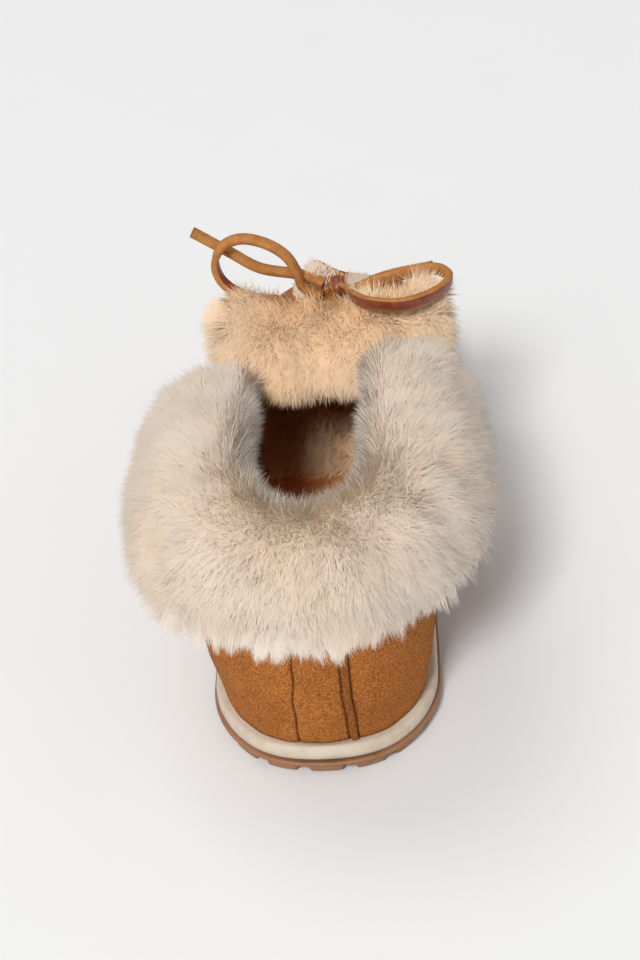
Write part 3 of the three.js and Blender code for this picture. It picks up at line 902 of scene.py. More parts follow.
@dataclass
class Sole:
    """Lugged gum outsole and cream midsole."""

    last: Last
    finishes: Finishes
    pitch: float = 14.5
    notch: float = 3.6
    notch_depth: float = 1.7
    notch_lift: float = 2.1
    notch_inward: float = 9.0
    groove: float = 3.2
    groove_depth: float = 1.8
    groove_margin: float = 14.0
    grooves: tuple = (24, 40, 56, 138, 154, 170, 186, 202)
    arch: tuple = (80.0, 126.0, 2.2)
    midsole_side: tuple = (
        (-0.8, 0.0), (0.1, 0.1), (0.45, 0.3), (0.5, 0.55), (0.25, 0.8), (-0.3, 0.94), (-1.1, 1.0),
    )
    notch_blur: float = 0.7
    groove_blur: float = 0.6
    margin_blur: float = 0.8

    def stations(self) -> np.ndarray:
        """Turns around the edge, evenly about a millimetre apart."""
        return self.last.turns(fine=1.0, coarse=1.0, fine_reach=1.0)

    @staticmethod
    def plate(
        rings: Sequence[np.ndarray],
        name: str,
        material: bpy.types.Material,
        slot: Slot,
        columns: int,
        bottom_height: Optional[Callable[[np.ndarray], np.ndarray]] = None,
    ) -> bpy.types.Object:
        """Closes a stack of rings with a plate across the bottom and the top.

        Args:
            rings: Rings of points around the edge, from the bottom's inner edge to the top.
            name: Name of the piece.
            material: Its finish.
            slot: The finish's slot; not used.
            columns: Cells across each plate.
            bottom_height: Height of the bottom plate at each point, if it isn't flat.

        Returns:
            The new piece.
        """
        count = len(rings[0])
        half = count // 2
        points, faces = [np.concatenate(rings)], []
        for low in range(0, (len(rings) - 1) * count, count):
            high = low + count
            faces += [[low + k, low + k + 1, high + k + 1, high + k] for k in range(count - 1)]
        start = len(points[0])
        share = np.linspace(0, 1, columns + 1)[None, :, None]
        for ring, is_bottom in ((rings[0], True), (rings[-1], False)):
            lateral, medial = ring[half::-1], ring[half:]
            plate = lateral[:, None, :] * (1 - share) + medial[:, None, :] * share
            if is_bottom and bottom_height is not None:
                plate[:, 1:-1, 2] = bottom_height(plate[:, 1:-1])
            points.append(plate.reshape(-1, 3))
            faces += grid_faces(half + 1, columns + 1, start, flip=not is_bottom)
            start += points[-1].shape[0]
        return new_piece(name, np.concatenate(points), faces, [material], join=JOIN)

    def build_midsole(self) -> bpy.types.Object:
        """Makes the cream band with its rounded side."""
        turn = self.stations()
        base = self.last.edge(turn)
        normal = self.last.edge_normal(turn)
        bottom = self.last.ground(base[:, 1]) + self.last.outsole + self.last.clearance * 0.5
        rings = []
        for out, height in self.midsole_side:
            plan = base + normal * out
            rings.append(np.column_stack([plan, bottom + (self.last.midsole + self.last.clearance) * height]))
        piece = self.plate(rings, "midsole_band", self.finishes.foam, Slot.MIDSOLE, 4)
        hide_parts("midsole")
        return piece

    def lug_gap(self, turn: np.ndarray) -> np.ndarray:
        """1 in the gaps between the edge lugs, 0 on the lugs, for each turn."""
        run = run_length(self.last.edge(turn))
        phase = np.abs((run - run[len(run) // 2]) % self.pitch - self.pitch / 2)
        return 1 - smooth(self.notch / 2 - self.notch_blur, self.notch / 2 + self.notch_blur, phase)

    def tread(self, points: np.ndarray) -> np.ndarray:
        """Height of the tread with its arch and cross grooves."""
        x, y = points[..., 0], points[..., 1]
        start, end, height = self.arch
        lift = height * np.sin(np.pi * np.clip((y - start) / (end - start), 0, 1)) ** 2
        theta = self.last.theta_at(y)
        room = np.minimum(x - self.last.edge(-theta)[..., 0], self.last.edge(theta)[..., 0] - x)
        inside = smooth(self.groove_margin - self.margin_blur, self.groove_margin + self.margin_blur, room)
        away = np.min(np.abs(y[..., None] - np.array(self.grooves)), axis=-1)
        cut = 1 - smooth(self.groove / 2 - self.groove_blur, self.groove / 2 + self.groove_blur, away)
        return self.last.ground(y) + lift + self.groove_depth * cut * inside

    def build_outsole(self) -> bpy.types.Object:
        """Makes the gum outsole with its edge lugs."""
        turn = self.stations()
        base = self.last.edge(turn)
        normal = self.last.edge_normal(turn)
        gap = self.lug_gap(turn)
        ground = self.tread(np.column_stack([base, np.zeros(len(base))]))
        top = self.last.ground(base[:, 1]) + self.last.outsole
        lifted = ground + gap * self.notch_lift
        sides = [
            (-self.notch_inward - 2.0, ground),
            (-self.notch_inward + 1.0, lifted),
            (-0.9 - gap * self.notch_depth, lifted),
            (-0.2 - gap * self.notch_depth, lifted + 0.35),
            (0.2 - gap * self.notch_depth, np.maximum(lifted, ground + 1.5)),
            (0.5 - gap * self.notch_depth * 0.75, np.maximum(lifted + 0.3, ground + 2.6)),
            (0.35, np.maximum(ground + 3.2, lifted + 0.7)),
            (0.3, top - 1.35),
            (1.25, top - 1.1),
            (1.35, top - 0.4),
            (0.9, top),
        ]
        rings = [np.column_stack([base + normal * np.reshape(out, (-1, 1)), z]) for out, z in sides]
        piece = self.plate(rings, "outsole_lugs", self.finishes.gum, Slot.RUBBER, 30, self.tread)
        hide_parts("outsole")
        return piece


@dataclass
class Upper:
    """Suede upper with its heel strip, fleece lining and footbed."""

    last: Last
    finishes: Finishes
    hide: float = 2.2
    lining: float = 6.6
    rows: int = 64
    seams: tuple = ((-7.6, -7.75), (6.9, 7.95), (9.9, 10.75))
    seam_top: float = 50.0
    seam_bottom: float = 11.0
    seam_width: float = 0.3
    seam_depth: float = 0.9
    puff: float = 0.55
    stitch: float = 2.7
    sock_front: float = 128.0
    lip_x: tuple = (-6, -3, 0.5, 6, 15.5, 19.5, 21)
    lip_z: tuple = (90, 94, 98, 95.5, 92.5, 89, 85)
    lip_y: float = 128.5
    lip_foot: float = 76.0
    lip_reach: float = 8.0
    heel_reach: float = 30.0
    closed: float = 0.5
    spine_join: float = 0.05
    flex_y: float = 158.0
    flex_width: float = 3.2
    flex_depth: float = 0.8
    flex_from: tuple[float, float] = (38.0, 52.0)
    tuck_width: float = 1.5
    tuck_depth: float = 0.6
    ridge_height: float = 0.8
    ridge_ripple: float = 0.3
    ridge_painted_shade: float = 0.28
    ridge_edge: float = 0.7
    below_edge: float = 1.0
    footbed: float = 7.0
    footbed_inset: float = 7.9
    footbed_share: float = 0.42
    footbed_cells: tuple[int, int] = (70, 41)
    fold_at: tuple[float, float] = (2.5, 138.0)
    fold_slant: tuple[float, float] = (0.85, 0.52)
    fold_size: tuple[float, float] = (1.8, 11.0)
    fold_depth: float = 2.6
    sock_thick: float = 1.1

    def seam_lines(self, points: np.ndarray) -> list[np.ndarray]:
        """Distance from each heel seam, in millimetres, on the heel's back."""
        rise = (points[..., 2] - self.seam_bottom) / (self.seam_top - self.seam_bottom)
        lines = [points[..., 0] - (low + (high - low) * rise) for high, low in self.seams]
        wander = 0.22 * ripple(points * np.array([0.2, 0.2, 1.0]), 9, seed=31)
        far_away = 99.0
        return [np.where(points[..., 1] < self.heel_reach, line + wander, far_away) for line in lines]

    def shell(self, turn: np.ndarray, grow: float) -> np.ndarray:
        """Grid of the upper's surface at an offset."""
        top = self.last.collar_angle(np.abs(turn))
        share = np.linspace(0, 1, self.rows + 1)
        return self.last.point(turn[:, None], top[:, None] * share[None, :], np.array(grow))

    def shell_faces(self, surface: np.ndarray, flip: bool = False) -> list[list[int]]:
        """Faces of a shell between two grids, open where the vamp's two sides meet.

        Args:
            surface: Grid of one side; the other side's points are stored after it.
            flip: Whether the faces are turned over.

        Returns:
            Corner indices of each face.
        """
        rows, columns = surface.shape[:2]
        offset = rows * columns
        faces = grid_faces(rows, columns, 0, flip) + grid_faces(rows, columns, offset, not flip)
        for i in range(rows - 1):
            low, next_low = i * columns, (i + 1) * columns
            end, next_end = low + columns - 1, next_low + columns - 1
            rim = [[low, offset + low, offset + next_low, next_low]]
            if np.linalg.norm(surface[i, -1] - surface[rows - 1 - i, -1]) > self.closed:
                rim.append([end, next_end, offset + next_end, offset + end])
            faces += [corners[::-1] for corners in rim] if flip else rim
        return faces

    def crease(self, points: np.ndarray) -> np.ndarray:
        """Soft troughs and ridges of a worn-in suede, in millimetres."""
        soft = 0.5 * ripple(points, 34, seed=41) + 0.25 * ripple(points, 13, seed=42)
        x, y, z = np.moveaxis(points, -1, 0)
        bend = np.exp(-((y - self.flex_y - 3 * np.sin(x / 9)) / self.flex_width) ** 2)
        over = smooth(*self.flex_from, z)
        tuck = np.exp(-((z - self.last.feather(y) - 1.0) / self.tuck_width) ** 2)
        return soft - self.flex_depth * bend * over - self.tuck_depth * tuck

    def build_shell(self) -> bpy.types.Object:
        """Makes the suede with real seams on the heel."""
        turn = self.last.turns(fine=0.24, coarse=1.7, fine_reach=15.0)
        outer = self.shell(turn, 0.0)
        inner = self.shell(turn, -self.hide)
        normal = grid_normals(outer)
        lines = self.seam_lines(outer)
        pulled = np.cos(2 * np.pi * outer[..., 2] / self.stitch)
        holes = 0.55 + 0.45 * pulled
        lift = self.crease(outer)
        dark = np.zeros(outer.shape[:2])
        for line in lines:
            groove = np.exp(-((line / self.seam_width) ** 2))
            lift += -self.seam_depth * groove * (0.6 + 0.4 * holes)
            dark = np.maximum(dark, groove * (0.45 + 0.55 * holes))
        _, right, ridge = lines
        panel = np.minimum.reduce([np.abs(line) for line in lines])
        lift += self.puff * (1 - np.exp(-panel / 3.0)) * (outer[..., 1] < self.heel_reach)
        fold = smooth(0, self.ridge_edge, right) * (1 - smooth(-self.ridge_edge, 0, ridge))
        lift += fold * (self.ridge_height + self.ridge_ripple * pulled)
        # The raised ridge between the second and third seams is darkened: painted shade.
        dark = np.maximum(dark, self.ridge_painted_shade * fold)
        grown = outer + normal * lift[..., None]
        points = np.concatenate([grown.reshape(-1, 3), inner.reshape(-1, 3)])
        piece = new_piece("upper_suede", points, self.shell_faces(outer), [self.finishes.suede])
        store(piece, "seam", np.concatenate([dark.ravel(), np.zeros(dark.size)]))
        weld(piece.data, self.spine_join)
        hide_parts("upper")
        return piece

    def build_lining(self) -> bpy.types.Object:
        """Makes the woolly inside of the upper."""
        turn = self.last.turns(fine=2.4, coarse=2.4, fine_reach=24.0)
        inner = self.shell(turn, -self.lining)
        outer = self.shell(turn, -self.hide - 0.2)
        for grid in (inner, outer):
            grid[..., 2] = np.minimum(grid[..., 2], self.last.topline(grid[..., 1]) - self.below_edge)
        tufts = 0.7 + 0.7 * ripple(inner, 6, seed=61) + 0.5 * ripple(inner, 3, seed=62)
        woolly = inner - grid_normals(inner) * tufts[..., None]
        points = np.concatenate([woolly.reshape(-1, 3), outer.reshape(-1, 3)])
        faces = self.shell_faces(inner, flip=True)
        piece = new_piece("upper_lining", points, faces, [self.finishes.lining])
        weld(piece.data, self.spine_join)
        return piece

    def footbed_grid(self, start: float, end: float, inset: float, lift: float) -> np.ndarray:
        """Grid over the top of the footbed.

        Args:
            start: Where it begins along the foot.
            end: Where it ends.
            inset: Distance by which its sides are drawn in.
            lift: Height above the footbed's nominal top.

        Returns:
            Grid of points, one row for each place along the foot.
        """
        along, across = self.footbed_cells
        y = np.linspace(start, end, along)
        theta = self.last.theta_at(y)
        grow = np.array(-self.footbed_inset - inset)
        rise = self.last.rise_at(theta, grow)
        z = self.last.feather(y) + np.minimum(self.footbed, self.footbed_share * rise)
        angle = self.last.angle_at(theta, z, grow)
        left = self.last.point(-theta, angle, grow)
        right = self.last.point(theta, angle, grow)
        share = np.linspace(0, 1, across)[None, :, None]
        grid = left[:, None, :] * (1 - share) + right[:, None, :] * share
        grid[..., 2] += lift
        return grid

    def fold(self, points: np.ndarray) -> np.ndarray:
        """Depth of the slanting crease in the footbed's wool."""
        x, y = points[..., 0] - self.fold_at[0], points[..., 1] - self.fold_at[1]
        run, drop = self.fold_slant
        wide, long = self.fold_size
        across = (x * drop + y * run) / wide
        along = (x * run - y * drop) / long
        return self.fold_depth * np.exp(-(across**2)) * np.exp(-(along**4))

    def build_footbed(self) -> list[bpy.types.Object]:
        """Makes the footbed's wool, its pile and the smooth sock over its rear."""
        top = self.footbed_grid(9.0, 222.0, inset=0.0, lift=-1.2)
        top[..., 2] += 0.6 * ripple(top, 14, seed=71) - self.fold(top)
        low = top.copy()
        low[..., 2] = self.last.feather(top[..., 1]) + 0.2
        points, faces = slab(top, low, flip=True)
        wool = new_piece("footbed_wool", points, faces, [self.finishes.lining])
        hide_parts("insole")
        return [wool, self.build_footbed_pile(), self.build_sock()]

    def build_lip(self) -> list[bpy.types.Object]:
        """Makes the vamp's top edge that stands up behind the knot, with fleece along it."""
        share = np.linspace(0, 1, 30)
        x = self.lip_x[0] + (self.lip_x[-1] - self.lip_x[0]) * share
        top = hermite(self.lip_x, self.lip_z, x)
        rise = np.linspace(0, 1, 14)[:, None]
        y = self.lip_y + self.lip_reach * rise**0.8 + 1.2 * np.sin(share * 7)[None, :] * rise
        front = np.stack([x + 0 * rise, y, self.lip_foot + (top - self.lip_foot) * rise], -1)
        front = front + 0.5 * ripple(front, 9, seed=91)[..., None] * np.array([0, 1, 0])
        points, faces = slab(front, front + np.array([0, self.hide, 0.0]))
        sheet = new_piece("throat_lip", points, faces, [self.finishes.suede])
        store(sheet, "seam", np.zeros(len(points)))
        bed = front[8:, ::-1]
        flow = np.zeros_like(bed)
        flow[..., 2] = 1.0
        ones = np.ones(bed.shape[:2])
        edges = ((0.06, 0.16), (0.86, 0.12))
        edge = sum(np.exp(-(((share[::-1] - at) / spread) ** 2)) for at, spread in edges)
        pile = Pile(
            "throat_lip_pile", bed, flow, length=3.4 * ones, count=5000, seed=95, lean=0.9 * ones, tone=0.75,
            clump=0.4, sparse=0.03 + edge[None, :] * ones,
        )
        return [sheet, pile.build(self.finishes.cuff_pile, Slot.CUFF)]

    def build_footbed_pile(self) -> bpy.types.Object:
        """Makes the footbed's pile in front of the sock, combed aslant."""
        bed = self.footbed_grid(120.0, 205.0, inset=1.0, lift=-1.0)[:, ::-1]
        flow = np.zeros_like(bed)
        flow[..., 0], flow[..., 1] = 0.75, 0.65
        ones = np.ones(bed.shape[:2])
        bed[..., 2] -= self.fold(bed)
        pile = Pile(
            "footbed_pile", bed, flow, length=7.5 * ones, count=20000, seed=81, lean=ones, width=0.3,
            clump=0.75, per_clump=26, tone=0.5, shades=True,
        )
        return pile.build(self.finishes.foot_pile_painted_shade, Slot.FOOTBED)

    def build_sock(self) -> bpy.types.Object:
        """Makes the thin leather sock that covers the rear of the footbed."""
        top = self.footbed_grid(12.0, self.sock_front, inset=0.4, lift=1.0)
        top[..., 2] += 0.5 * ripple(top, 40, seed=75)
        edge = smooth(self.sock_front - 2.2, self.sock_front, top[..., 1])
        top[..., 2] -= 0.4 * edge
        points, faces = slab(top, top - np.array([0, 0, self.sock_thick]), flip=True)
        piece = new_piece("heel_sock", points, faces, [self.finishes.sock])
        store(piece, "wrinkle_and_shade", np.zeros(len(points)))
        return piece


@dataclass
class Cuff:
    """Folded sheepskin collar with long pile."""

    last: Last
    finishes: Finishes
    front_lateral: float = 88.0
    front_medial: float = 92.0
    crown_lateral: tuple = (12, 12, 12, 8, 3)
    crown_medial: tuple = (12, 12, 12, 11, 8)
    wall: float = 7.5
    cover: float = 4.0
    strand: float = 9.0
    y: tuple = (0, 16, 45, 78, 100)
    hem_lateral: tuple = (66, 62, 53, 52, 54)
    hem_medial: tuple = (66, 69, 66, 60, 57)
    out_lateral: tuple = (17, 19.5, 22.5, 22.5, 20)
    out_medial: tuple = (17, 19, 21.5, 23, 21)
    inner_hem: tuple = (64, 64, 63, 64, 68)
    inward: tuple = (3.0, 2.6, 2.4, -0.5, -3.0)
    outline: tuple = (
        (0.15, 0.02), (0.45, 0.0), (0.74, 0.05), (0.94, 0.22), (1.0, 0.47), (0.88, 0.73), (0.52, 0.93),
        (0.0, 1.0), (-0.5, 0.93), (-0.92, 0.72), (-1.0, 0.42), (-0.6, 0.08), (-0.2, 0.0),
    )
    strands: int = 228000
    fine_columns: int = 90
    dome_reach: float = 7.0
    dome_steps: int = 8
    middle: tuple = (2.0, 52.0, 0.0)
    crown_at: float = 0.72
    tuft: float = 13.0
    tufts: int = 24000

    def sided(self, turn: np.ndarray, lateral: Sequence[float], medial: Sequence[float]) -> np.ndarray:
        """Reads the column of the side that each turn is on."""
        y = self.last.along(np.abs(turn))
        return np.where(turn >= 0, hermite(self.y, medial, y), hermite(self.y, lateral, y))

    def section(self, turn: np.ndarray, shrink: float) -> np.ndarray:
        """Sections of the cuff.

        Args:
            turn: Places around the collar.
            shrink: Distance by which the pile's outline is drawn in.

        Returns:
            Grid of points: one row for each turn, from the outer hem over the crown to the inner hem.
        """
        theta = np.abs(turn)
        y = self.last.along(theta)
        near_heel = smooth(0, 10, y)
        hem = self.sided(turn, self.hem_lateral, self.hem_medial)
        hem = hem * near_heel + (1 - near_heel) * (self.hem_lateral[0] + self.hem_medial[0]) / 2
        out = self.sided(turn, self.out_lateral, self.out_medial)
        inner = hermite(self.y, self.inner_hem, y)
        inward = hermite(self.y, self.inward, y)
        rim = self.last.topline(y)
        crown = self.sided(turn, self.crown_lateral, self.crown_medial)
        columns = []
        for reach, height in self.outline:
            base = hem + shrink * 0.6 if reach >= 0 else inner
            z = base + (rim + crown - shrink - base) * height
            face = 0.5 if reach > 0 else -self.wall - 0.5
            if reach == 0:
                face = -self.wall / 2
            size = out - shrink if reach > 0 else inward - shrink * 0.4
            grow = face + size * reach
            angle = self.last.angle_at(theta, np.minimum(z, rim), grow)
            point = self.last.point(turn, angle, grow)
            point[..., 2] = z
            columns.append(point)
        return np.stack(columns, 1)

    def bed(self, shrink: float) -> np.ndarray:
        """Fine closed-ended bed of the pile, with its two front ends domed."""
        left, right = self.last.theta_at(np.array([self.front_lateral, self.front_medial]))
        dense = self.last.turns(fine=1.5, coarse=1.5, fine_reach=1.5)
        turn = np.concatenate([[-left], dense[(dense > 0.01 - left) & (dense < right - 0.01)], [right]])
        coarse = self.section(turn, shrink)
        knots = np.arange(coarse.shape[1])
        fine = np.linspace(0, knots[-1], self.fine_columns)
        grid = np.stack([np.stack([hermite(knots, row[:, k], fine) for k in range(3)], -1) for row in coarse])
        grid = self.dome(grid, first=True)
        grid = self.dome(grid, first=False)
        lump = 0.9 * ripple(grid, 27, seed=11) + 0.4 * ripple(grid, 12, seed=12)
        return grid + grid_normals(grid) * lump[..., None]

    def dome(self, grid: np.ndarray, first: bool) -> np.ndarray:
        """Adds shrinking sections that round off one front end.

        Args:
            grid: Sections of the cuff.
            first: Whether the end is before the first section, or after the last.

        Returns:
            The longer grid.
        """
        end = grid[0] if first else grid[-1]
        middle = end.mean(0)
        forward = np.array([0.0, self.dome_reach, 0.0])
        extra = []
        for k in range(1, self.dome_steps + 1):
            bend = k / self.dome_steps * math.pi / 2 * 0.98
            extra.append(middle + (end - middle) * math.cos(bend) + forward * math.sin(bend))
        extra = np.stack(extra)
        return np.concatenate([extra[::-1], grid]) if first else np.concatenate([grid, extra])

    def build_wool(self) -> bpy.types.Object:
        """Makes the matted wool that the pile stands on."""
        grid = self.bed(self.cover)
        rows, columns = grid.shape[:2]
        faces = tube_faces(rows, columns)
        for row in (0, rows - 1):
            faces.append([row * columns + j for j in range(columns)])
        points = grid.reshape(-1, 3)
        piece = new_piece("cuff_wool", points, faces, [self.finishes.wool], join=JOIN)
        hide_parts("cuff")
        return piece

    def build_pile(self) -> list[bpy.types.Object]:
        """Makes the long pile, in three pieces around the collar."""
        grid = self.bed(self.cover)
        rows, columns = grid.shape[:2]
        v = np.linspace(0, 1, columns)[None, :] * np.ones((rows, 1))
        down = -np.gradient(grid, axis=1)
        heading = 1 - smooth(self.crown_at - 0.08, self.crown_at + 0.20, v)
        flow = unit(down) * (2 * heading - 1)[..., None]
        outward = grid - np.array(self.middle)
        outward[..., 2] = 0
        flow = flow + 0.25 * unit(outward) * heading[..., None]
        dome = np.zeros(rows)
        ends = self.dome_steps + 1
        dome[:ends], dome[-ends:] = np.linspace(1, 0, ends), np.linspace(0, 1, ends)
        flow[..., 1] += 0.6 * dome[:, None]
        lean = 0.08 + 0.52 * np.abs(2 * heading - 1)
        hem = 1 - smooth(0.08, 0.26, v)
        length = self.strand * (1 + 0.35 * hem) * (1 - 0.52 * smooth(0.6, 0.85, v))
        lean = lean + 0.25 * hem
        # The pile's tone is paler towards +x and along the crest: painted light. It is paler towards the hem
        # as well.
        painted_crest_light = np.exp(-(((v - self.crown_at) / 0.14) ** 2))
        tone = 0.50 + 0.22 * smooth(0, 40, grid[..., 0]) + 0.15 * hem + 0.2 * painted_crest_light
        cut = [0, rows * 3 // 10, rows * 7 // 10, rows - 1]
        pieces = []
        for k, name in enumerate(("cuff_pile_left", "cuff_pile_back", "cuff_pile_right")):
            part = slice(cut[k], cut[k + 1] + 1)
            pile = Pile(
                name, grid[part], flow[part], length[part], count=self.strands // 3, seed=101 + 10 * k,
                lean=lean[part], tone=tone[part],
            )
            pieces += pile.layers(self.finishes.cuff_pile, Slot.CUFF)
        pieces.append(self.build_hem(grid))
        return pieces

    def build_hem(self, grid: np.ndarray) -> bpy.types.Object:
        """Makes the pointed tufts that hang over the suede along the outer hem."""
        bed = grid[:, 2:26]
        flow = -np.gradient(bed, axis=1)
        flow[..., 2] -= 0.8
        ones = np.ones(bed.shape[:2])
        tuft = Pile(
            "cuff_hem_tufts", bed, unit(flow), length=self.tuft * ones, count=self.tufts, seed=151,
            lean=1.02 * ones, clump=0.7, per_clump=26, curl=0.14, droop=0.8, tone=0.85,
        )
        return tuft.build(self.finishes.cuff_pile, Slot.CUFF)


@dataclass
class Tongue:
    """Sheepskin tongue with its pile to the rear."""

    finishes: Finishes
    centre: tuple = (4.6, 4.2, 3.8, 3.8, 4.2, 4.8, 5.8, 6, 6)
    y: tuple = (152, 141, 132.5, 127.4, 125.4, 124, 123, 122, 121.2)
    z: tuple = (61.6, 65, 70.2, 76.5, 81.4, 85.2, 87.8, 90.2, 92.2)
    half: tuple = (14, 13.5, 15, 20, 26, 31, 34, 34, 31)
    deep: tuple = (6, 7, 8, 12, 21, 24, 22, 17, 9)
    bow: float = 1.0
    corner: float = 6.0
    strands: int = 70000
    cells: tuple[int, int] = (60, 56)
    parting: float = 90.0

    def grids(self) -> tuple[np.ndarray, np.ndarray]:
        """Fine grids of the front and the back face."""
        knots = np.arange(len(self.y))
        rows, columns = self.cells
        fine = np.linspace(0, knots[-1], rows)
        centre, y, z, half = (hermite(knots, c, fine) for c in (self.centre, self.y, self.z, self.half))
        half = half * (1 - 0.06 * smooth(7.4, 8, fine))
        inward = unit(np.column_stack([np.zeros(rows), -np.gradient(z), np.gradient(y)]))
        across = np.linspace(-1, 1, columns)
        x = centre[:, None] + half[:, None] * across
        face = np.stack(np.broadcast_arrays(x, y[:, None], z[:, None]), -1)
        face = face + inward[:, None, :] * (self.bow * across**2)[None, :, None]
        face[..., 2] += self.corner * across**2 * smooth(4.5, 8, fine)[:, None]
        deep = hermite(knots, self.deep, fine)[:, None] * (1 - 0.5 * across**4)[None, :]
        back = face + inward[:, None, :] * deep[..., None]
        swell = 1.4 * ripple(back, 24, seed=201) + 0.6 * ripple(back, 11, seed=202)
        return face, back + inward[:, None, :] * swell[..., None]

    def build_body(self) -> bpy.types.Object:
        """Makes the padded sheet: suede in front, wool behind."""
        face, back = self.grids()
        points, faces = slab(face, back)
        front = (face.shape[0] - 1) * (face.shape[1] - 1)
        kind = [0] * front + [1] * (len(faces) - front)
        materials = [self.finishes.suede, self.finishes.wool]
        piece = new_piece("tongue_sheet", points, faces, materials, kind)
        store(piece, "seam", np.zeros(len(points)))
        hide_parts("tongue")
        return piece

    def build_pile(self) -> list[bpy.types.Object]:
        """Makes the pile on the back face, the top edge and the two side edges."""
        face, back = self.grids()
        left, right = face[:, :1], face[:, -1:]
        back_left, back_right = back[:, :1], back[:, -1:]
        side = 5
        share = np.linspace(0.15, 0.85, side)[None, :, None]
        edges = left + (back_left - left) * share, back_right + (right - back_right) * share
        bed = np.concatenate([edges[0], back, edges[1]], 1)[:, ::-1]
        top = bed[-1:]
        lip = np.concatenate([left[-1:].repeat(side, 1), face[-1:], right[-1:].repeat(side, 1)], 1)[:, ::-1]
        round_top = np.array([0, 0, 1.6])
        roll = [top + (lip - top) * k + round_top * math.sin(math.pi * k) for k in (0.3, 0.6, 0.9)]
        bed = np.concatenate([bed, *roll])
        sideways = np.linspace(1, -1, bed.shape[1])[None, :] ** 3 * np.ones((bed.shape[0], 1))
        fall = np.tanh((bed[..., 2] - self.parting - 4.0 * sideways**2) / 5.0)
        flow = np.stack([1.2 * sideways, -0.25 + 0 * fall, fall], -1)
        lean = 0.15 + 0.6 * np.clip(np.hypot(sideways, fall), 0, 1)
        height = bed[..., 2]
        length = 4.5 + 4.5 * smooth(66, 82, height)
        # The tone rises towards the tongue's two sides, so the middle is warmer and darker: painted shade
        # over the middle.
        pile = Pile(
            "tongue_pile", bed, unit(flow), length, count=self.strands, seed=211, lean=lean, clump=0.3,
            tone=0.32 + 0.45 * sideways**2, sparse=0.15 + 0.85 * smooth(60, 76, height),
        )
        return pile.layers(self.finishes.tongue_pile, Slot.CUFF)


@dataclass(frozen=True)
class Run:
    """One run of the lace, through points of its middle line."""

    node: str
    points: tuple
    axis: tuple
    grain: float
    far_end: FarEnd
    lay: Lay
    knotted: bool = False

    def route(self, spacing: float) -> np.ndarray:
        """Runs a smooth curve through the points, evenly spaced."""
        points = np.asarray(self.points, float)
        knots = np.concatenate([[0], np.cumsum(np.linalg.norm(np.diff(points, axis=0), axis=1) ** 0.5)])
        fine = np.linspace(0, knots[-1], 800)
        curve = np.stack([hermite(knots, points[:, k], fine) for k in range(3)], -1)
        run = run_length(curve)
        even = np.linspace(0, run[-1], max(int(run[-1] / spacing), 8))
        return np.stack([np.interp(even, run, curve[:, k]) for k in range(3)], -1)


BAR = Run(
    "lace_bar",
    (
        (-25.4, 121.3, 74.2), (-24.2, 124.4, 79), (-17.5, 127.6, 83.6), (-7, 128.6, 86), (8, 129.2, 86.6),
        (19, 128.4, 85.2), (27.2, 125.5, 80), (30.4, 121.4, 74.2),
    ),
    (0, 0.55, 0.85), -1, FarEnd.OBJECT, Lay.TAUT,
)
LOOP_LEFT = Run(
    "lace_loop_left",
    (
        (2, 130.9, 90.2), (-3.2, 131, 94), (-4.7, 132, 99), (-8.2, 134, 104.5), (-14.8, 136, 108.3),
        (-22.6, 137, 109.7), (-28.7, 136, 107.6), (-31.3, 134, 102.8), (-29.5, 132, 97), (-23.7, 129.6, 93.2),
        (-16, 128.4, 91.2), (-6, 127.8, 90.3),
    ),
    (0.1, 0.95, 0.2), 1, FarEnd.OBJECT, Lay.LOOSE, knotted=True,
)
END_LEFT = Run(
    "lace_end_left",
    ((3.6, 133.2, 93.4), (-4, 135.4, 95.6), (-17.1, 138, 97.2), (-26.6, 140.8, 102), (-38.6, 142.4, 109.8)),
    (0.1, 0.95, 0.1), 1, FarEnd.BARE, Lay.LOOSE,
)
LOOP_RIGHT = Run(
    "lace_loop_right",
    (
        (14.5, 131, 91.8), (22.2, 131, 94.8), (33.8, 129, 98.8), (41.3, 126, 101.4), (44.9, 120, 102.2),
        (42.4, 112, 103.6), (36, 105.4, 104.6), (29, 103, 104.6), (22, 106, 103), (17, 111.5, 100.5),
        (13, 119.5, 97.5), (10, 127, 94.5), (8.9, 131, 93),
    ),
    (0.1, 0.1, 1.0), -1, FarEnd.OBJECT, Lay.LOOSE,
)
END_RIGHT = Run(
    "lace_end_right",
    ((7.5, 131.9, 91.4), (13.7, 134.6, 89.9), (25.5, 136, 93), (39.6, 133.4, 97.4)),
    (0, 0.6, 0.8), -1, FarEnd.BARE, Lay.LOOSE,
)


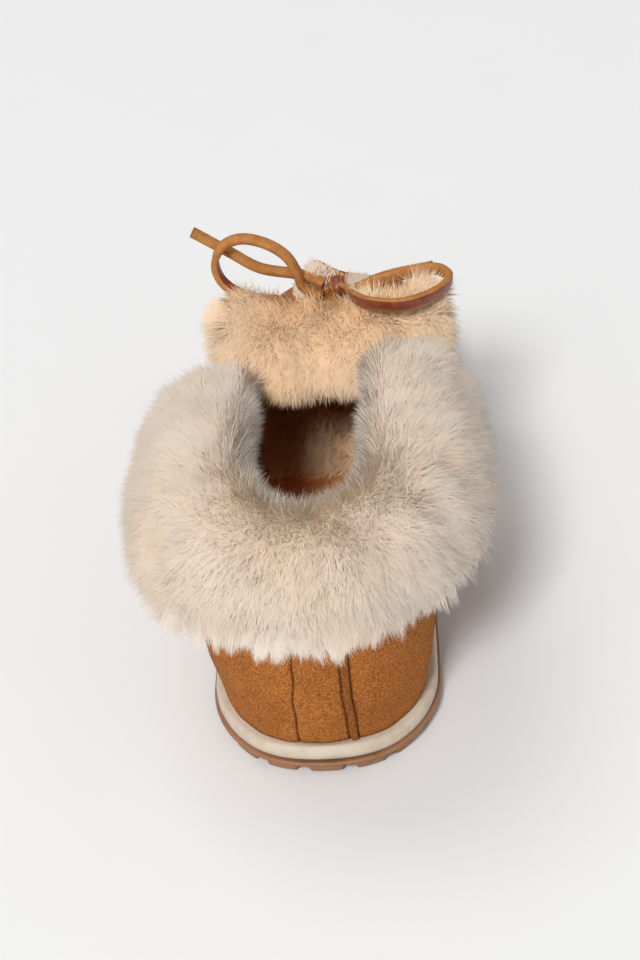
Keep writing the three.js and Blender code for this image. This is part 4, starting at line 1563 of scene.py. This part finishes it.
@dataclass
class Lace:
    """Flat leather thong tied in a bow."""

    finishes: Finishes
    width: float = 3.9
    thick: float = 2.3
    bevel: float = 0.45
    spacing: float = 0.8
    tight_bend: float = 0.12
    runs: tuple = (BAR, LOOP_LEFT, END_LEFT, LOOP_RIGHT, END_RIGHT)
    knot_centre: tuple = (8.5, 131.6, 91.8)
    knot_half: tuple = (3.0, 3.4)
    knot_travel: float = 1.1

    def outline(self) -> list[tuple[float, float]]:
        """Section of the thong with bevelled edges, beginning on the grain side."""
        w, t, r = self.width / 2, self.thick / 2, self.bevel
        grain = [(-w + r, t), (0, t), (w - r, t)]
        flesh = [(w, t - r), (w, -t + r), (w - r, -t), (0, -t), (-w + r, -t), (-w, -t + r), (-w, t - r)]
        return grain + flesh

    def strip(self, name: str, route: np.ndarray, axis: Sequence[float], grain: float) -> bpy.types.Object:
        """Sweeps the thong's flat section along a route.

        Args:
            name: Name of the piece.
            route: Points of its middle line.
            axis: Direction that the thong's width keeps to.
            grain: Side of the thong with the grain, 1 or -1.

        Returns:
            The new piece.
        """
        along = unit(np.gradient(route, axis=0))
        axis = np.asarray(axis, float)
        wide = unit(axis - (along @ axis)[:, None] * along)
        thick = np.cross(along, wide) * grain
        rings = np.stack([route + wide * a + thick * b for a, b in self.outline()], 1)
        rows, columns = rings.shape[:2]
        faces = tube_faces(rows, columns)
        kind = [0 if k % columns < 2 else 1 for k in range(len(faces))] + [1, 1]
        last_ring = range((rows - 1) * columns, rows * columns)
        faces += [list(range(columns)), list(last_ring)[::-1]]
        materials = [self.finishes.grain, self.finishes.flesh]
        piece = new_piece(name, rings.reshape(-1, 3), faces, materials, kind)
        # Tight bends get wrinkles that are dented and darkened; the darkening is painted shade.
        bend = np.linalg.norm(np.gradient(along, axis=0), axis=1)
        step = np.arange(rows)
        wave = 0.5 + 0.5 * np.sin(step * 2.4 + 1.3 * np.sin(step * 0.37))
        store(piece, "wrinkle_and_shade", np.repeat(np.clip(bend / self.tight_bend, 0, 1) * wave, columns))
        return piece

    def declare(
        self, run: Run, route: np.ndarray
    ) -> float:
        """Measures a run and hides its part in the imported model.

        Args:
            run: The run that it shows.
            route: Points of its middle line.

        Returns:
            Its length in millimetres.
        """
        length = float(np.linalg.norm(np.diff(route, axis=0), axis=1).sum())
        self.width * MM
        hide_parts(run.node)
        return length

    def build_knot(self) -> bpy.types.Object:
        """Makes the wrap of the knot."""
        turn = np.linspace(0, 2 * np.pi, 40)
        deep, high = self.knot_half
        travel = (turn / np.pi - 1) * self.knot_travel
        wrap = np.column_stack([travel, deep * np.cos(turn), high * np.sin(turn)])
        knot = self.strip("lace_knot_wrap", np.array(self.knot_centre) + wrap, (1, 0, 0.15), 1)
        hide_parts("lace_knot")
        return knot

    def build(self) -> list[bpy.types.Object]:
        """Makes the knot, the bar, both loops and both ends."""
        knot = self.build_knot()
        pieces = [knot]
        for run in self.runs:
            route = run.route(self.spacing)
            piece = self.strip(run.node + "_strip", route, run.axis, run.grain)
            length = self.declare(run, route)
            log.info("%s is %.1f mm long", piece.name, length)
            pieces.append(piece)
        return pieces


@dataclass
class Studio:
    """Camera, pale floor and soft light."""

    finishes: Finishes
    azimuth: float = 4.5
    elevation: float = 39.0
    roll: float = -5.5
    distance: float = 800.0
    focal_px: float = 2570.0
    anchor: tuple = (0.0, 1.0, 0.0)
    anchor_px: tuple = (327.0, 773.0)
    frame_px: tuple = (640.0, 960.0)
    aim: tuple = (0.0, 0.0, 0.04)
    floor_reach: float = 6.0
    surround: float = 0.38
    lamps: tuple = (
        ("key", (-1.1, -4.2, 4.6), 1.3, 250.0),
        ("fill", (-2.5, -4.4, 2.4), 3.0, 10.0),
        ("top", (-1.4, 1.4, 4.6), 2.6, 48.0),
    )

    def build_camera(self) -> None:
        """Makes the camera, rolled so that the shoe leans as it was seen."""
        a, e, r = (math.radians(v) for v in (self.azimuth, self.elevation, self.roll))
        back = np.array([math.sin(a) * math.cos(e), -math.cos(a) * math.cos(e), math.sin(e)])
        level = np.array([math.cos(a), math.sin(a), 0.0])
        upright = np.cross(back, level)
        right = math.cos(r) * level + math.sin(r) * upright
        up = -math.sin(r) * level + math.cos(r) * upright
        across = (self.anchor_px[0] - self.frame_px[0] / 2) / self.focal_px
        down = (self.anchor_px[1] - self.frame_px[1] / 2) / self.focal_px
        eye = np.array(self.anchor) + self.distance * (back - across * right + down * up)
        camera = bpy.data.cameras.new("view")
        camera.sensor_fit = "VERTICAL"
        camera.sensor_height = 36.0
        camera.lens = self.focal_px * camera.sensor_height / self.frame_px[1]
        camera.clip_start = 0.01
        holder = bpy.data.objects.new("view", camera)
        place = to_frame(eye)
        turned = np.column_stack([right, up, back, place])
        holder.matrix_world = Matrix([*turned.tolist(), [0, 0, 0, 1]])
        bpy.context.scene.collection.objects.link(holder)
        bpy.context.scene.camera = holder

    def light(self, name: str, place: Sequence[float], size: float, power: float) -> None:
        """Adds one soft area light that faces the slipper.

        Args:
            name: Name of the light.
            place: Where it hangs, in metres.
            size: Side of its square, in metres.
            power: Its power in watts.
        """
        data = bpy.data.lights.new(name, "AREA")
        data.energy = power
        data.size = size
        lamp = bpy.data.objects.new(name, data)
        lamp.location = place
        lamp.rotation_euler = (Vector(self.aim) - Vector(place)).to_track_quat("-Z", "Y").to_euler()
        bpy.context.scene.collection.objects.link(lamp)

    def build_room(self) -> None:
        """Makes the floor, the lights and the even surroundings."""
        r = self.floor_reach
        mesh = bpy.data.meshes.new("floor")
        mesh.from_pydata([(-r, -r, 0), (r, -r, 0), (r, r, 0), (-r, r, 0)], [], [[0, 1, 2, 3]])
        mesh.materials.append(self.finishes.floor)
        floor = bpy.data.objects.new("floor", mesh)
        bpy.context.scene.collection.objects.link(floor)
        for lamp in self.lamps:
            self.light(*lamp)
        world = bpy.data.worlds.new("surroundings")
        world.use_nodes = True
        background = world.node_tree.nodes["Background"]
        background.inputs["Color"].default_value = (1.0, 1.0, 1.0, 1.0)
        background.inputs["Strength"].default_value = self.surround
        bpy.context.scene.world = world
        bpy.context.scene.view_settings.view_transform = "Standard"


def main() -> None:
    """Builds the studio and the slipper, and reports each piece."""
    logging.basicConfig(level=logging.INFO, format="%(message)s")
    finishes = Finishes()
    last = Last()
    studio = Studio(finishes)
    studio.build_camera()
    studio.build_room()
    pieces = Lace(finishes).build()
    sole = Sole(last, finishes)
    pieces += [sole.build_outsole(), sole.build_midsole()]
    upper = Upper(last, finishes)
    pieces += [upper.build_shell(), upper.build_lining(), *upper.build_footbed(), *upper.build_lip()]
    cuff = Cuff(last, finishes)
    pieces += [cuff.build_wool(), *cuff.build_pile()]
    tongue = Tongue(finishes)
    pieces += [tongue.build_body(), *tongue.build_pile()]
    for piece in pieces:
        log.info("%s: %d faces", piece.name, len(piece.data.polygons))


if __name__ == "__main__":
    main()
